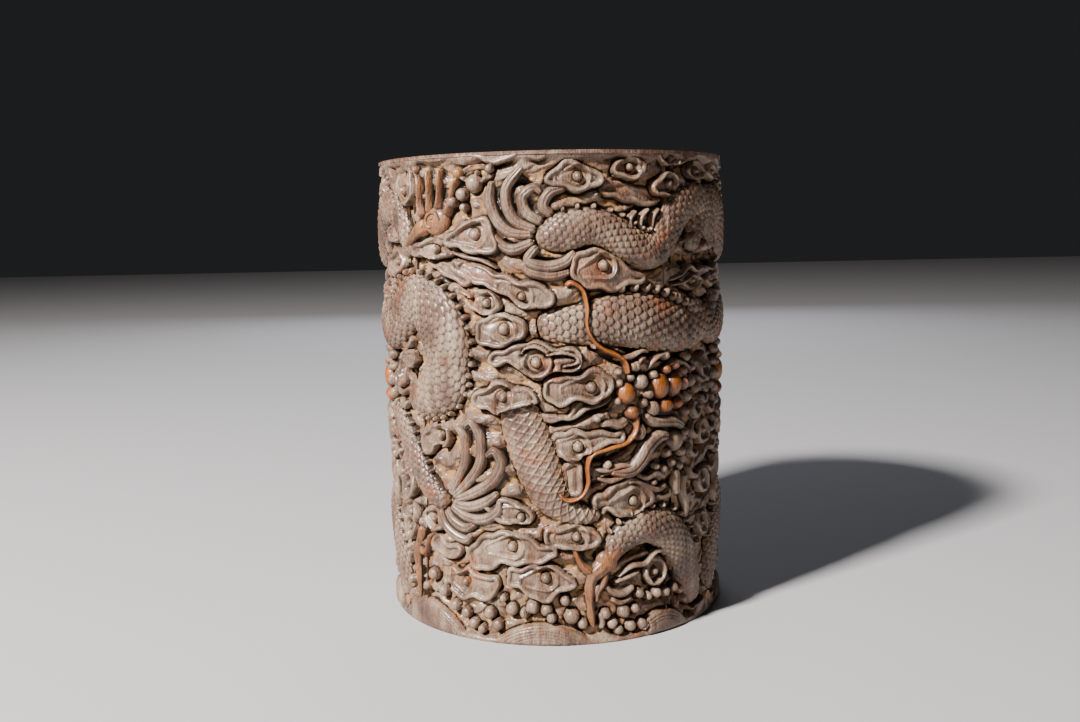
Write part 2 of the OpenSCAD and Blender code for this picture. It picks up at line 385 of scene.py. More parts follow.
cloud([(-51.6, 121), (-49, 123.4), (-44, 124.8), (-39, 125), (-34, 124), (-31.4, 121.4), (-34, 119.4),
       (-38, 118.8), (-43, 119.4), (-48, 119.6)], 3.1, (-39, 121.8), (-44.4, 122), 1.6)
cloud([(-35.4, 123.6), (-32, 127), (-28, 129.4), (-24, 131.2), (-20, 130.8), (-17.6, 127.6), (-16, 123.4),
       (-17.4, 121), (-22, 120), (-27, 121), (-31, 122.4)], 3.4, (-23.8, 126.2), (-30.4, 125.4), 2)
cloud([(5.6, 117), (8, 120.2), (12, 121.6), (17, 121), (21, 118.6), (25, 115.4), (29.6, 113), (28.4, 110.4),
       (23, 109.6), (19, 108.2), (14, 109.4), (10, 110), (6.6, 112.6)], 3.2, (16.2, 116.2), (9.4, 114.4), 2)
cloud([(-24.8, 96.4), (-23.4, 100.4), (-19, 102.4), (-14, 102.6), (-10, 101), (-8, 98), (-9.4, 95),
       (-13, 93.4), (-17, 92.2), (-21, 92.4), (-24, 94)], 2.9, (-15.4, 97.8), (-21, 98), 2)
cloud([(-10, 73.8), (-4, 72.6), (1, 71.4), (5, 72.6), (7, 75.4), (12, 77.4), (18, 79), (19, 76), (15, 74),
       (9, 71.6), (4, 69.8), (-2, 69.6), (-8, 71)], 2)
cloud([(-3.6, 80.4), (-1.8, 82.8), (2.4, 83.8), (7, 83.8), (11, 85.4), (15.4, 85.2), (18.6, 82.6),
       (18.4, 79), (16, 76.2), (12.6, 74.8), (8.8, 76), (5, 75.2), (1, 74.4), (-2, 76.4)], 3.3, (11.8, 80),
      (3.6, 79.4), 2)
cloud([(-21, 88), (-18.6, 91), (-14, 92.4), (-10, 93.4), (-6, 94.4), (-2, 93.2), (2, 92), (6.4, 92), (9, 90),
       (9, 87), (6.6, 85.2), (2, 84.8), (-1.4, 84), (-4.6, 82.6), (-8, 83.2), (-10.4, 86), (-14, 87.4),
       (-18, 86.8)], 3.5, (-5.2, 87.8), (-5.2, 87.8), 1.9)
cloud([(-27, 76), (-25, 78.6), (-21.4, 80.4), (-18.6, 82), (-15, 82.2), (-12, 80.4), (-8, 79.6), (-5, 78),
       (-5, 75.4), (-9.6, 74.8), (-13.4, 73), (-17, 71.8), (-20.6, 72.8), (-24.6, 74)], 3.5,
      (-16.6, 77.4), (-22.4, 77), 2)
cloud([(-2, 63), (0.6, 66), (5, 67), (12, 66.4), (19, 66), (22.4, 66.4), (22, 62.6), (16, 61.6), (11.6, 60),
       (8, 58), (3, 57.8), (-0.6, 60.4)], 3, (7.4, 61.8), (1.6, 62.2), 1.9)
cloud([(2, 52), (2.4, 56), (5, 57.4), (8.4, 56.4), (9, 51), (8, 47.4), (5, 46.4), (2.8, 48)], 2.8)
cloud([(11.4, 43.4), (12.8, 46.6), (17, 48), (21, 50.4), (25.4, 51), (29.6, 49.4), (32.6, 46), (33, 42.6),
       (30, 40), (25.6, 38.4), (21, 39), (17.6, 41), (14, 40.4)], 3.2, (25.8, 43.8), (18.4, 43), 1.9)
cloud([(-25, 45.6), (-20, 46.4), (-15, 45.4), (-10, 43.8), (-7, 41), (-9, 38.2), (-14, 37.6), (-19, 38.6),
       (-22, 41)], 2.7, (-11.4, 40), (-17, 41.6), 1.5)
cloud([(-4.4, 33.4), (-2.6, 36.8), (2, 37.4), (7, 37.8), (12, 36), (14.2, 33), (12.6, 30.6), (9, 29.4),
       (5, 30.4), (1.6, 30), (-2, 31)], 3.1, (6.6, 33.8), (0.6, 34), 1.6)
cloud([(-30, 25.6), (-29, 30), (-25, 33.4), (-20, 35), (-14, 35.2), (-9, 34), (-4.6, 31.8), (-0.6, 31),
       (0, 28), (-4, 26), (-9, 25.2), (-13, 24.6), (-17, 25.2), (-21, 23.4), (-26, 22.2)], 2.9,
      (-14.4, 30.8), (-22, 29.6), 1.8)
cloud([(-16.6, 21.6), (-15.4, 24), (-11, 24.6), (-7, 25.4), (-3, 25.4), (1, 24), (4.4, 21.8), (6, 19),
       (3, 17), (0, 16), (-3, 13.6), (-6.4, 13.8), (-9, 15.6), (-12, 17.4), (-15.4, 18.8)], 3.4,
      (-3.6, 21.2), (-10.4, 20), 1.9)
cloud([(-38.6, 18.6), (-37.4, 22), (-33.4, 21.6), (-30.6, 23), (-27, 21.6), (-23, 20.4), (-20, 20.8),
       (-18.4, 18), (-21, 14.6), (-25, 12.6), (-29, 13), (-33, 12.2), (-37, 14)], 3.1, (-31.4, 18),
      (-36.4, 18.2), 1.7)
cloud([(-50, 60), (-48, 65), (-43, 67.4), (-38, 66.6), (-36, 63), (-38, 60), (-42, 60.6), (-45, 57),
       (-48, 57)], 2.6, (-40.4, 63.6), (-46, 62.6), 1.6)
cloud([(-66, 53), (-62, 56), (-57, 50.4), (-57, 46), (-62, 44.4), (-67, 47)], 2.7, (-61, 50), (-65, 50), 1.5)
cloud([(-67, 36), (-64, 39.4), (-59, 40), (-54, 37), (-55, 33), (-60, 31.4), (-65, 32.4)], 3,
      (-59, 36), (-64, 36), 1.8)
cloud([(-68, 24), (-65, 28), (-60, 28), (-58.6, 23), (-61, 18.6), (-66, 18.6)], 2.9, (-62.6, 23.6),
      (-66, 24), 1.6)
cloud([(-51, 38), (-46, 40), (-42, 37.6), (-40, 34), (-44, 32.6), (-49, 34)], 2.4, (-45.4, 36), (-49, 36.4),
      1.3)
cloud([(-47, 30), (-43, 31.6), (-39, 29), (-34, 29.6), (-32.4, 27), (-36, 24.6), (-42, 25), (-46, 26.6)], 2.4)
cloud([(30, 22.6), (32, 25), (36.6, 24.4), (39, 21), (38, 17), (33, 15.6), (30, 18)], 3, (34, 20),
      (31.4, 21.6), 1.6)
cloud([(-70, 117), (-66, 121), (-60, 122), (-56, 119), (-57, 115), (-62, 113), (-68, 113.6)], 2.9,
      (-61, 117.6), (-66.4, 117.6), 1.6)
cloud([(-69, 126), (-66, 131), (-60, 132.4), (-56.4, 129), (-58, 125.4), (-63, 123.6)], 2.8,
      (-61, 128.4), (-65.6, 128), 1.5)
cloud([(56, 60), (58, 64.4), (63, 65.4), (66, 62), (64.6, 58), (60, 57)], 2.8, (60.6, 61.4), (58.4, 59.6),
      1.5)
cloud([(56.4, 44), (58.6, 48.6), (63.6, 49), (66.4, 45.4), (64, 41.6), (59.4, 40.6)], 2.9, (61, 45),
      (59, 42.6), 1.5)
cloud([(57, 30), (59, 34), (64, 34.6), (66, 31), (63.4, 27), (59.4, 26.4)], 2.9, (61.4, 30.6), (59.6, 28.4),
      1.4)
cloud([(-63, 98), (-60, 101), (-54, 101), (-50, 98.6), (-53, 96.4), (-59, 96.6)], 2.6)
cloud([(-66, 92.6), (-63, 95.6), (-57, 95.6), (-52, 93.4), (-55, 90.6), (-61, 90.8)], 2.8)
cloud([(-62, 87.6), (-58, 90), (-52, 89.4), (-50, 86.6), (-53, 84.4), (-59, 84.8)], 3)
cloud([(-70, 80), (-66, 83.4), (-60, 84), (-54, 81), (-53, 77), (-58, 75.6), (-64, 75)], 2.7, (-62, 79.4),
      (-66.4, 80), 1.6)
cloud([(45, 111), (50, 113.4), (56, 112.6), (60, 110), (56, 108), (50, 107.6)], 2.4, (53, 110.4),
      (48.6, 110.4), 1.3)
cloud([(56, 84), (60, 87), (64, 85), (64, 80), (60, 78)], 2.6, (60.4, 82.4), (59.4, 85), 1.2)

# The curl in the big middle cloud, and the lips that run on under the clouds.
ridge([(-9.6, 90.4), (-8.6, 92), (-5, 92.6), (-1.4, 90.4), (-0.8, 87), (-3, 84.2), (-6.4, 84), (-9, 86.4)],
      4.0, 0.6)
ridge([(-33, 121), (-28, 119.6), (-22, 118.4), (-17, 116)], 2.7, 0.7)
ridge([(-30, 109), (-26, 107.4)], 2.4, 0.6)
ridge([(-2, 90), (3, 90.6), (7, 89.4), (7, 87.4), (3, 86.6)], 3.7, 0.5)

# Foam and waves round the foot, and a few pearls high up. Each drop is its place and its radius.
FOAM = [(-46, 18, 2.2), (-41, 13.4, 2), (-36, 9.6, 2.1), (-31.4, 8, 2.2), (-28.6, 5, 2), (-22.6, 9, 1.9),
        (-20, 5.6, 1.8), (-15, 11, 2.4), (-10.6, 10, 1.7), (-8, 12, 2.3), (-3.6, 11, 2), (-2, 8.6, 1.6),
        (2.4, 14, 1.7), (4.6, 8.8, 2.3), (8, 6.4, 1.7), (15.6, 9, 1.7), (18, 5.6, 1.8), (22, 9, 2.4),
        (26, 9.4, 1.8), (24.4, 4, 1.9), (28.6, 4, 1.7), (20, 3.4, 1.5), (27.6, 14, 1.5), (31, 12.6, 1.5),
        (34.6, 13, 1.6), (38.4, 12.6, 1.6), (42, 13.4, 1.6), (45.4, 12, 1.7), (48.6, 8.4, 1.7),
        (-25.4, 3.6, 1.7), (51.6, 4.6, 1.8), (-49.4, 13.6, 1.7), (-39, 17, 1.3), (-17.6, 14.4, 1.3),
        (-60, 13, 1.8), (-63.6, 10, 1.6), (57, 9, 1.7), (-24, 141.2, 2.7), (-28.2, 138, 2.2),
        (-31.8, 136, 1.8), (-18.4, 145.4, 1.5), (-27.4, 134.2, 1.3), (44, 105.6, 1.3), (26, 85.4, 1.4),
        (13, 92.6, 1.1), (17, 56, 1.1)]
foam_bank = soft_step((17 + 1.2 * drift(30, 4, 8) - UP) / 1.6)
carving = np.maximum(carving, (1.5 + 0.5 * drift(60, 40, 10)) * foam_bank + carving * (1 - foam_bank))
wave(60.7, 11, 9.6, 5)
wave(-60.7, 11, 9.4, 5)
wave(-50, 19, 9.4, 9)
wave(-5, 16.6, 6.8)
wave(37, 12, 7.4, 5)
for foam_along, foam_up, foam_r in FOAM:
    foam_top = 3.8 if foam_up > 30 else 4.1
    pearl(foam_along, foam_up, foam_r * chance.uniform(0.85, 1.12), foam_top)

# Under a dragon the wall is left low, and a cut runs along each side of it.
UNDERCUT = 2.2
for body_rows in BODIES.values():
    for where, d, share, (_, _, half, back) in near_lines(body_rows, 1.0, 11):
        hidden = (d < half - 0.4) & (share > 0) & (share < 1)
        carving[where] = np.where(hidden, np.minimum(carving[where], back - UNDERCUT), carving[where])
        carving[where] -= np.exp(-((d - half) / 0.8) ** 2)

# The carving runs out at the lip above and into the foot ring below.
carving = np.clip(carving, -2.4, 4.4)
near_foot = soft_step((2.6 - UP) / 1.8)
carving = carving * (1 - near_foot) + np.maximum(carving, 3.7) * near_foot
near_lip = soft_step((UP - (POT_H - LIP_H - 3 + 0.8 * drift(26, 4, 8))) / 2.4)
carving = carving * (1 - near_lip) + np.clip(carving, 2.9, 3.3) * near_lip
skyline = carving.copy()


def mark(along, up, rise):
    """Notes how high a piece stands over the ground, for the dust, painted sheen and painted shade that come
    last.
    """
    x = np.round((along / ROUND + 0.5) * columns).astype(int)
    y = np.clip(np.round((up - grid_up[0]) / (grid_up[1] - grid_up[0])), 0, rows - 2).astype(int)
    for dx, dy in ((0, 0), (1, 0), (0, 1), (1, 1)):
        np.maximum.at(skyline, (y + dy, (x + dx) % columns), rise)


def piece_from(name, points, faces, values):
    """A mesh piece, with a first value at each point for how deep its own fine cuts are."""
    mesh = bpy.data.meshes.new(name)
    mesh.from_pydata([], [], [])
    mesh.vertices.add(len(points))
    mesh.vertices.foreach_set("co", np.asarray(points, np.float32).ravel())
    corners = np.concatenate([np.asarray(f, np.int32).ravel() for f in faces])
    sizes = np.concatenate([np.full(len(f), np.asarray(f).shape[1], np.int32) for f in faces])
    mesh.loops.add(len(corners))
    mesh.loops.foreach_set("vertex_index", corners)
    mesh.polygons.add(len(sizes))
    mesh.polygons.foreach_set("loop_start", np.concatenate([[0], np.cumsum(sizes)[:-1]]).astype(np.int32))
    mesh.polygons.foreach_set("loop_total", sizes)
    mesh.update(calc_edges=True)
    mesh.attributes.new("hollow", "FLOAT", "POINT")
    crevice = mesh.attributes.new("crevice", "FLOAT", "POINT")
    crevice.data.foreach_set("value", np.asarray(values, np.float32).ravel())
    mesh.polygons.foreach_set("use_smooth", np.ones(len(sizes), bool))
    piece = bpy.data.objects.new(name, mesh)
    bpy.context.collection.objects.link(piece)
    return piece


def pick(piece):
    """Nothing but this piece is selected, and it is the active one."""
    bpy.ops.object.select_all(action="DESELECT")
    piece.select_set(True)
    bpy.context.view_layer.objects.active = piece


def read_places(piece):
    """Along, up and height over the ground of each of a piece's points, in millimetres."""
    co = np.empty(len(piece.data.vertices) * 3)
    piece.data.vertices.foreach_get("co", co)
    x, y, up = co.reshape(-1, 3).T / MM
    return np.arctan2(x, -y) * LAYOUT_R, up, np.hypot(x, y) - ground_radius(up)


# The wall's section, walked from the foot up the carved side, over the rim, down inside and back
# under the foot, round the seat that the floor is let into.
floor_low, floor_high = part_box("floor_disc")
SEAT_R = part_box("lacquer_seam")[1].x / MM
FLOOR_TOP = floor_high.z / MM
SHOULDER_W = 2.5
BORE_R = SEAT_R - SHOULDER_W
RIM_ROUND = 0.9
FOOT_R = float(ground_radius(0)) + CARVE_DEPTH
quarter_turn = np.linspace(0, math.pi / 2, 6)
lip_out = RIM_R - 1.3
wobble = 0.18 * np.sin(3 * grid_along / LAYOUT_R + 1) + 0.12 * np.sin(7 * grid_along / LAYOUT_R)
outer_foot = [(FOOT_R - 1.2, 0.0), (FOOT_R - 0.8, 0.12), (FOOT_R - 0.6, 0.4)]
over_rim = [(lip_out - 0.3, POT_H - LIP_H + 0.3), (lip_out, POT_H - LIP_H + 0.7)]
over_rim += [(lip_out - RIM_ROUND + RIM_ROUND * math.cos(q), POT_H - RIM_ROUND + RIM_ROUND * math.sin(q))
             for q in quarter_turn]
over_rim += [(lip_out - 3.5, POT_H), (lip_out - 6.5, POT_H), (BORE_R + 2.8, POT_H)]
over_rim += [(BORE_R + RIM_ROUND - RIM_ROUND * math.sin(q), POT_H - RIM_ROUND + RIM_ROUND * math.cos(q))
             for q in quarter_turn]
BORE_STEPS = 24
down_inside = [(BORE_R, POT_H - RIM_ROUND - k * (POT_H - RIM_ROUND - FLOOR_TOP) / BORE_STEPS)
               for k in range(1, BORE_STEPS + 1)]
under_foot = [(BORE_R + SHOULDER_W / 2, FLOOR_TOP), (SEAT_R, FLOOR_TOP), (SEAT_R, 6.0), (SEAT_R, 0.5),
              (SEAT_R + 0.5, 0.0), (SEAT_R + 3, 0.0)]
turns = grid_along / LAYOUT_R


def ring_at(r, up):
    """One level ring of the wall, in metres."""
    return np.stack([r * np.sin(turns), -r * np.cos(turns), np.full(columns, up)], -1) * MM


side = on_pot(ALONG, UP, carving)
rings = [ring_at(r, up) for r, up in outer_foot]
rings += list(side)
rings += [ring_at(r + (wobble if up > POT_H - 3 and r > BORE_R + 2 else 0), up) for r, up in over_rim]
rings += [ring_at(r, up) for r, up in down_inside + under_foot]
rings = np.stack(rings)

# The one wall is modelled as four closed quarters, because each mesh is kept light. They overlap by a
# few columns that sink away from the surface, so no joint shows. Flat places are thinned out.
MOST_FACES = 190000
QUARTERS = 4
SINK = [1.0, 0.4, 0.1, 0, 0, 0]
SEAM_SHIFT = columns // 9
# Which way is into the wall at each ring, as a share outwards and a share upwards.
into_wall = [(-0.7, 0.7)] * len(outer_foot) + [(-1, 0)] * rows + [(-0.7, -0.7)] * (2 + len(quarter_turn))
into_wall += [(0, -1)] * 3 + [(0.7, -0.7)] * len(quarter_turn)
into_wall += [(1, 0)] * len(down_inside) + [(0, 1)] + [(1, 0)] * 3 + [(0, 1)] * 2
into_wall = np.array(into_wall, float)
outward = np.stack([np.sin(turns), -np.cos(turns)], -1)


def wall_quarter(number):
    """A closed quarter of the wall, thinned where it is flat."""
    first = number * columns // QUARTERS + SEAM_SHIFT - len(SINK)
    last = (number + 1) * columns // QUARTERS + SEAM_SHIFT + len(SINK)
    chosen = np.arange(first, last + 1) % columns
    part = rings[:, chosen].copy()
    count, width = part.shape[:2]
    for k, sink in enumerate(SINK):
        for column in (k, width - 1 - k):
            part[:, column, :2] += into_wall[:, :1] * outward[chosen[column]] * sink * MM
            part[:, column, 2] += into_wall[:, 1] * sink * MM
    index = np.arange(count * width).reshape(count, width)
    after = np.roll(index, -1, 0)
    quads = np.stack([index[:, :-1], index[:, 1:], after[:, 1:], after[:, :-1]], -1)
    middles = [count * width, count * width + 1]
    start_cap = np.stack([np.full(count, middles[0]), index[:, 0], after[:, 0]], -1)
    end_cap = np.stack([np.full(count, middles[1]), after[:, -1], index[:, -1]], -1)
    points = np.vstack([part.reshape(-1, 3), part[:, 0].mean(0), part[:, -1].mean(0)])
    piece = piece_from(f"carved_wall_{number}", points, [quads.reshape(-1, 4), start_cap, end_cap],
                       np.zeros(len(points)))
    pick(piece)
    thin = piece.modifiers.new("thin", "DECIMATE")
    thin.ratio = min(1.0, MOST_FACES / (2 * len(piece.data.polygons)))
    bpy.ops.object.modifier_apply(modifier="thin")
    bpy.ops.object.shade_smooth_by_angle(angle=math.radians(75))
    return piece


def add_node(tree, kind, settings=None, inputs=None):
    """A shader node with its settings, its input values and its links."""
    node = tree.nodes.new(kind)
    for key, value in (settings or {}).items():
        setattr(node, key, value)
    for key, value in (inputs or {}).items():
        if isinstance(value, bpy.types.NodeSocket):
            tree.links.new(value, node.inputs[key])
        else:
            node.inputs[key].default_value = value
    return node


def colour(hex_value):
    """An sRGB hex colour as linear RGBA."""
    parts = [int(hex_value[k:k + 2], 16) / 255 for k in (1, 3, 5)]
    return [c / 12.92 if c <= 0.04045 else ((c + 0.055) / 1.055) ** 2.4 for c in parts] + [1.0]


def spread(tree, value, stops):
    """A colour ramp over a value; each stop is a value and a hex colour."""
    span = add_node(tree, "ShaderNodeMapRange", None,
                    {"Value": value, "From Min": stops[0][0], "From Max": stops[-1][0]}).outputs[0]
    ramp = add_node(tree, "ShaderNodeValToRGB", inputs={"Fac": span})
    for _ in stops[1:-1]:
        ramp.color_ramp.elements.new(0.5)
    for element, (place, hex_value) in zip(ramp.color_ramp.elements, stops):
        element.position = (place - stops[0][0]) / (stops[-1][0] - stops[0][0])
        element.color = colour(hex_value)
    return ramp.outputs["Color"]


def bare_material(name):
    """A material with an empty tree, and the places on the piece for its patterns to read."""
    material = bpy.data.materials.new(name)
    material.use_nodes = True
    material.node_tree.nodes.clear()
    return material, material.node_tree, add_node(material.node_tree, "ShaderNodeTexCoord").outputs["Object"]


# Old bamboo, carved with a knife, handled and waxed. The long fibres show as short dark dashes and
# fine upright streaks. High places are painted paler, partly rub wear and partly a painted sheen, patches
# are red from handling, tan dust lies in the hollows, and the knife's cuts are painted nearly black, as
# painted shade with some old wax and dirt.
FIBRE_MM = 0.62
STREAK_MM = 2.4
MOTTLE_MM = 11
GRIME_MM = 1.1
HANDLED_MM = 9
RED_FROM_HANDS = "#84461f"
# Near-black painted shade for the knife's cuts and the gaps between scales, with some real old wax and dirt.
PAINTED_SHADE_AND_DIRT_IN_CUTS = "#120803"


def carved_bamboo(name, deep, body, high, dust, dust_share=1.0, shine=0.31, redness=0.55):
    """Carved bamboo from its darkest to its palest colour, which is also painted on proud places as sheen,
    its dust, how much dust lies on it, how rough its shiniest places are, and how far hands have reddened it."""
    material, tree, place = bare_material(name)
    fibre_map = add_node(tree, "ShaderNodeMapping", inputs={"Vector": place, "Scale": (1, 1, 0.24)})
    streak_map = add_node(tree, "ShaderNodeMapping", inputs={"Vector": place, "Scale": (1, 1, 0.09)})
    dashes = add_node(tree, "ShaderNodeTexVoronoi", {"feature": "F1"},
                      {"Vector": fibre_map.outputs["Vector"], "Scale": 1 / (FIBRE_MM * MM),
                       "Randomness": 0.9})
    streaks = add_node(tree, "ShaderNodeTexNoise", None,
                       {"Vector": streak_map.outputs["Vector"], "Scale": 1 / (STREAK_MM * MM), "Detail": 4.0,
                        "Roughness": 0.65})
    mottle = add_node(tree, "ShaderNodeTexNoise", None,
                      {"Vector": place, "Scale": 1 / (MOTTLE_MM * MM), "Detail": 4.0, "Roughness": 0.6})
    grime = add_node(tree, "ShaderNodeTexNoise", None,
                     {"Vector": place, "Scale": 1 / (GRIME_MM * MM), "Detail": 4.0, "Roughness": 0.65})
    handled = add_node(tree, "ShaderNodeTexNoise", None,
                       {"Vector": place, "Scale": 1 / (HANDLED_MM * MM), "Detail": 3.0, "Distortion": 0.8})
    hollow = add_node(tree, "ShaderNodeAttribute", {"attribute_name": "hollow"}).outputs["Fac"]
    crevice = add_node(tree, "ShaderNodeAttribute", {"attribute_name": "crevice"}).outputs["Fac"]
    tone = add_node(tree, "ShaderNodeMath", {"operation": "MULTIPLY_ADD"},
                    {0: mottle.outputs["Fac"], 1: 1.3, 2: streaks.outputs["Fac"]}).outputs[0]
    base = spread(tree, tone, [(0.68, deep), (1.06, body), (1.5, high)])
    red_mask = add_node(tree, "ShaderNodeMapRange", {"interpolation_type": "SMOOTHSTEP"},
                        {"Value": handled.outputs["Fac"], "From Min": 0.55, "From Max": 0.72, "To Min": 0.0,
                         "To Max": redness}).outputs[0]
    reddened = add_node(tree, "ShaderNodeMix", {"data_type": "RGBA"},
                        {"Factor": red_mask, "A": base, "B": colour(RED_FROM_HANDS)}).outputs["Result"]
    dash_mask = add_node(tree, "ShaderNodeMapRange", None,
                         {"Value": dashes.outputs["Distance"], "From Min": 0.12, "From Max": 0.36,
                          "To Min": 0.68, "To Max": 0.0}).outputs[0]
    dashed = add_node(tree, "ShaderNodeMix", {"data_type": "RGBA"},
                      {"Factor": dash_mask, "A": reddened, "B": colour(deep)}).outputs["Result"]
    # Painted sheen: places that stand proud of their surroundings are mixed toward the palest colour, partly
    # for real rub wear.
    rub_wear_and_sheen = add_node(tree, "ShaderNodeMapRange", {"interpolation_type": "SMOOTHSTEP"},
                    {"Value": hollow, "From Min": -0.4, "From Max": -2.4, "To Min": 0.0, "To Max": 0.6})
    polished_and_sheen = add_node(tree, "ShaderNodeMix", {"data_type": "RGBA"},
                        {"Factor": rub_wear_and_sheen.outputs[0], "A": dashed, "B": colour(high)}).outputs["Result"]
    dirt_level = add_node(tree, "ShaderNodeMath", {"operation": "MULTIPLY_ADD"},
                          {0: grime.outputs["Fac"], 1: 1.5, 2: hollow}).outputs[0]
    dirt = add_node(tree, "ShaderNodeMapRange", {"interpolation_type": "SMOOTHSTEP"},
                    {"Value": dirt_level, "From Min": 0.85, "From Max": 1.9, "To Min": 0.0,
                     "To Max": 0.75 * dust_share}).outputs[0]
    dusty = add_node(tree, "ShaderNodeMix", {"data_type": "RGBA"},
                     {"Factor": dirt, "A": polished_and_sheen, "B": colour(dust)}).outputs["Result"]
    # Painted shade: the deeper a point lies below its near surroundings, the nearer to black it is painted.
    painted_cut_shade = add_node(tree, "ShaderNodeMapRange", {"interpolation_type": "SMOOTHSTEP"},
                   {"Value": crevice, "From Min": 0.14, "From Max": 0.7, "To Min": 0.0,
                    "To Max": 0.95}).outputs[0]
    shaded = add_node(tree, "ShaderNodeMix", {"data_type": "RGBA"},
                      {"Factor": painted_cut_shade, "A": dusty, "B": colour(PAINTED_SHADE_AND_DIRT_IN_CUTS)}).outputs["Result"]
    rough = add_node(tree, "ShaderNodeMapRange", None,
                     {"Value": dirt_level, "From Min": -1.0, "From Max": 1.7, "To Min": shine,
                      "To Max": 0.85}).outputs[0]
    relief = add_node(tree, "ShaderNodeMath", {"operation": "MULTIPLY_ADD"},
                      {0: dashes.outputs["Distance"], 1: 0.9, 2: streaks.outputs["Fac"]}).outputs[0]
    fine = add_node(tree, "ShaderNodeBump", None,
                    {"Height": relief, "Strength": 0.8, "Distance": 0.2 * MM})
    coarse = add_node(tree, "ShaderNodeBump", None,
                      {"Height": grime.outputs["Fac"], "Strength": 0.6, "Distance": 0.45 * MM,
                       "Normal": fine.outputs["Normal"]})
    shader = add_node(tree, "ShaderNodeBsdfPrincipled", None,
                      {"Base Color": shaded, "Roughness": rough, "Normal": coarse.outputs["Normal"],
                       "IOR": 1.5, "Coat Weight": 0.4, "Coat Roughness": 0.24})
    add_node(tree, "ShaderNodeOutputMaterial", inputs={"Surface": shader.outputs["BSDF"]})
    return material


brown_bamboo = carved_bamboo("carved_bamboo_waxed_brown", "#1f1007", "#634939", "#96836f", "#a67a44")
# The bore and the rim's top were scraped smooth and are rubbed by brushes and hands, so they are evener.
smooth_bamboo = carved_bamboo("bamboo_bore_and_rim_rubbed_smooth", "#3b271c", "#553a2b", "#674938", "#8a6b4a",
                              0.3, 0.36, 0.12)
for quarter_number in range(QUARTERS):
    carved_wall = wall_quarter(quarter_number)
    carved_wall.data.materials.append(brown_bamboo)
    carved_wall.data.materials.append(smooth_bamboo)
    for face in carved_wall.data.polygons:
        middle = face.center / MM
        if math.hypot(middle.x, middle.y) < BORE_R + 1 or middle.z > POT_H - 0.4:
            face.material_index = 1
    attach(carved_wall, "root")
    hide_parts("culm_wall")


# ---------------------------------------------------------------------------------------------
# The dragons' bodies: left standing round-backed above the clouds, then scaled with a small gouge
# held upright, row over row. Cut from the same bamboo as the wall.

# RES is the spacing of the points along a run. A run is rooted ROOT deep under the ground, and is
# kept off the pot's foot and rim.
RES = 0.28
ROOT = 2.0
RUN_LOWEST = 0.3
RUN_HIGHEST = POT_H - 1.5


def scales(run, across, pitch=1.75, width=2.15, lift=0.56):
    """Overlapping scales in rows, each a low dome that is highest at its free round end."""
    best = np.full(run.shape, -0.3)
    row = np.floor(run / pitch)
    for k in (0, 1, 2):
        i = row + k
        offset = (i % 2) * 0.5
        j = np.round(across / width - offset)
        x = (run - i * pitch) / pitch
        y = (across - (j + offset) * width) / width
        edge = (y / 0.52) ** 2 + np.where(x < 0, (x / 2.2) ** 2, (x / 0.72) ** 2)
        face = lift * (0.35 + 0.6 * x) + 0.2 * (1 - (y / 0.5) ** 2) - 0.1 * edge ** 2
        best = np.maximum(best, np.where(edge < 1, face, -0.3))
    return best


def broad_scales(run, across):
    """The larger scales of the thick coils."""
    return scales(run, across, 2.2, 2.7, 0.8)


def net(run, across, pitch=2.85, width=4.3, lift=0.36):
    """A net of fine raised lines that cross in diamonds, with flat scales between them."""
    a = run / pitch + across / width
    b = run / pitch - across / width
    line_a = np.abs(a - np.round(a))
    line_b = np.abs(b - np.round(b))
    nearest = np.minimum(line_a, line_b)
    return lift * np.exp(-(nearest / 0.12) ** 2) + 0.25 * (a % 1) * (b % 1) - 0.15


def plain(run, across):
    """No cuts at all."""
    return 0 * run


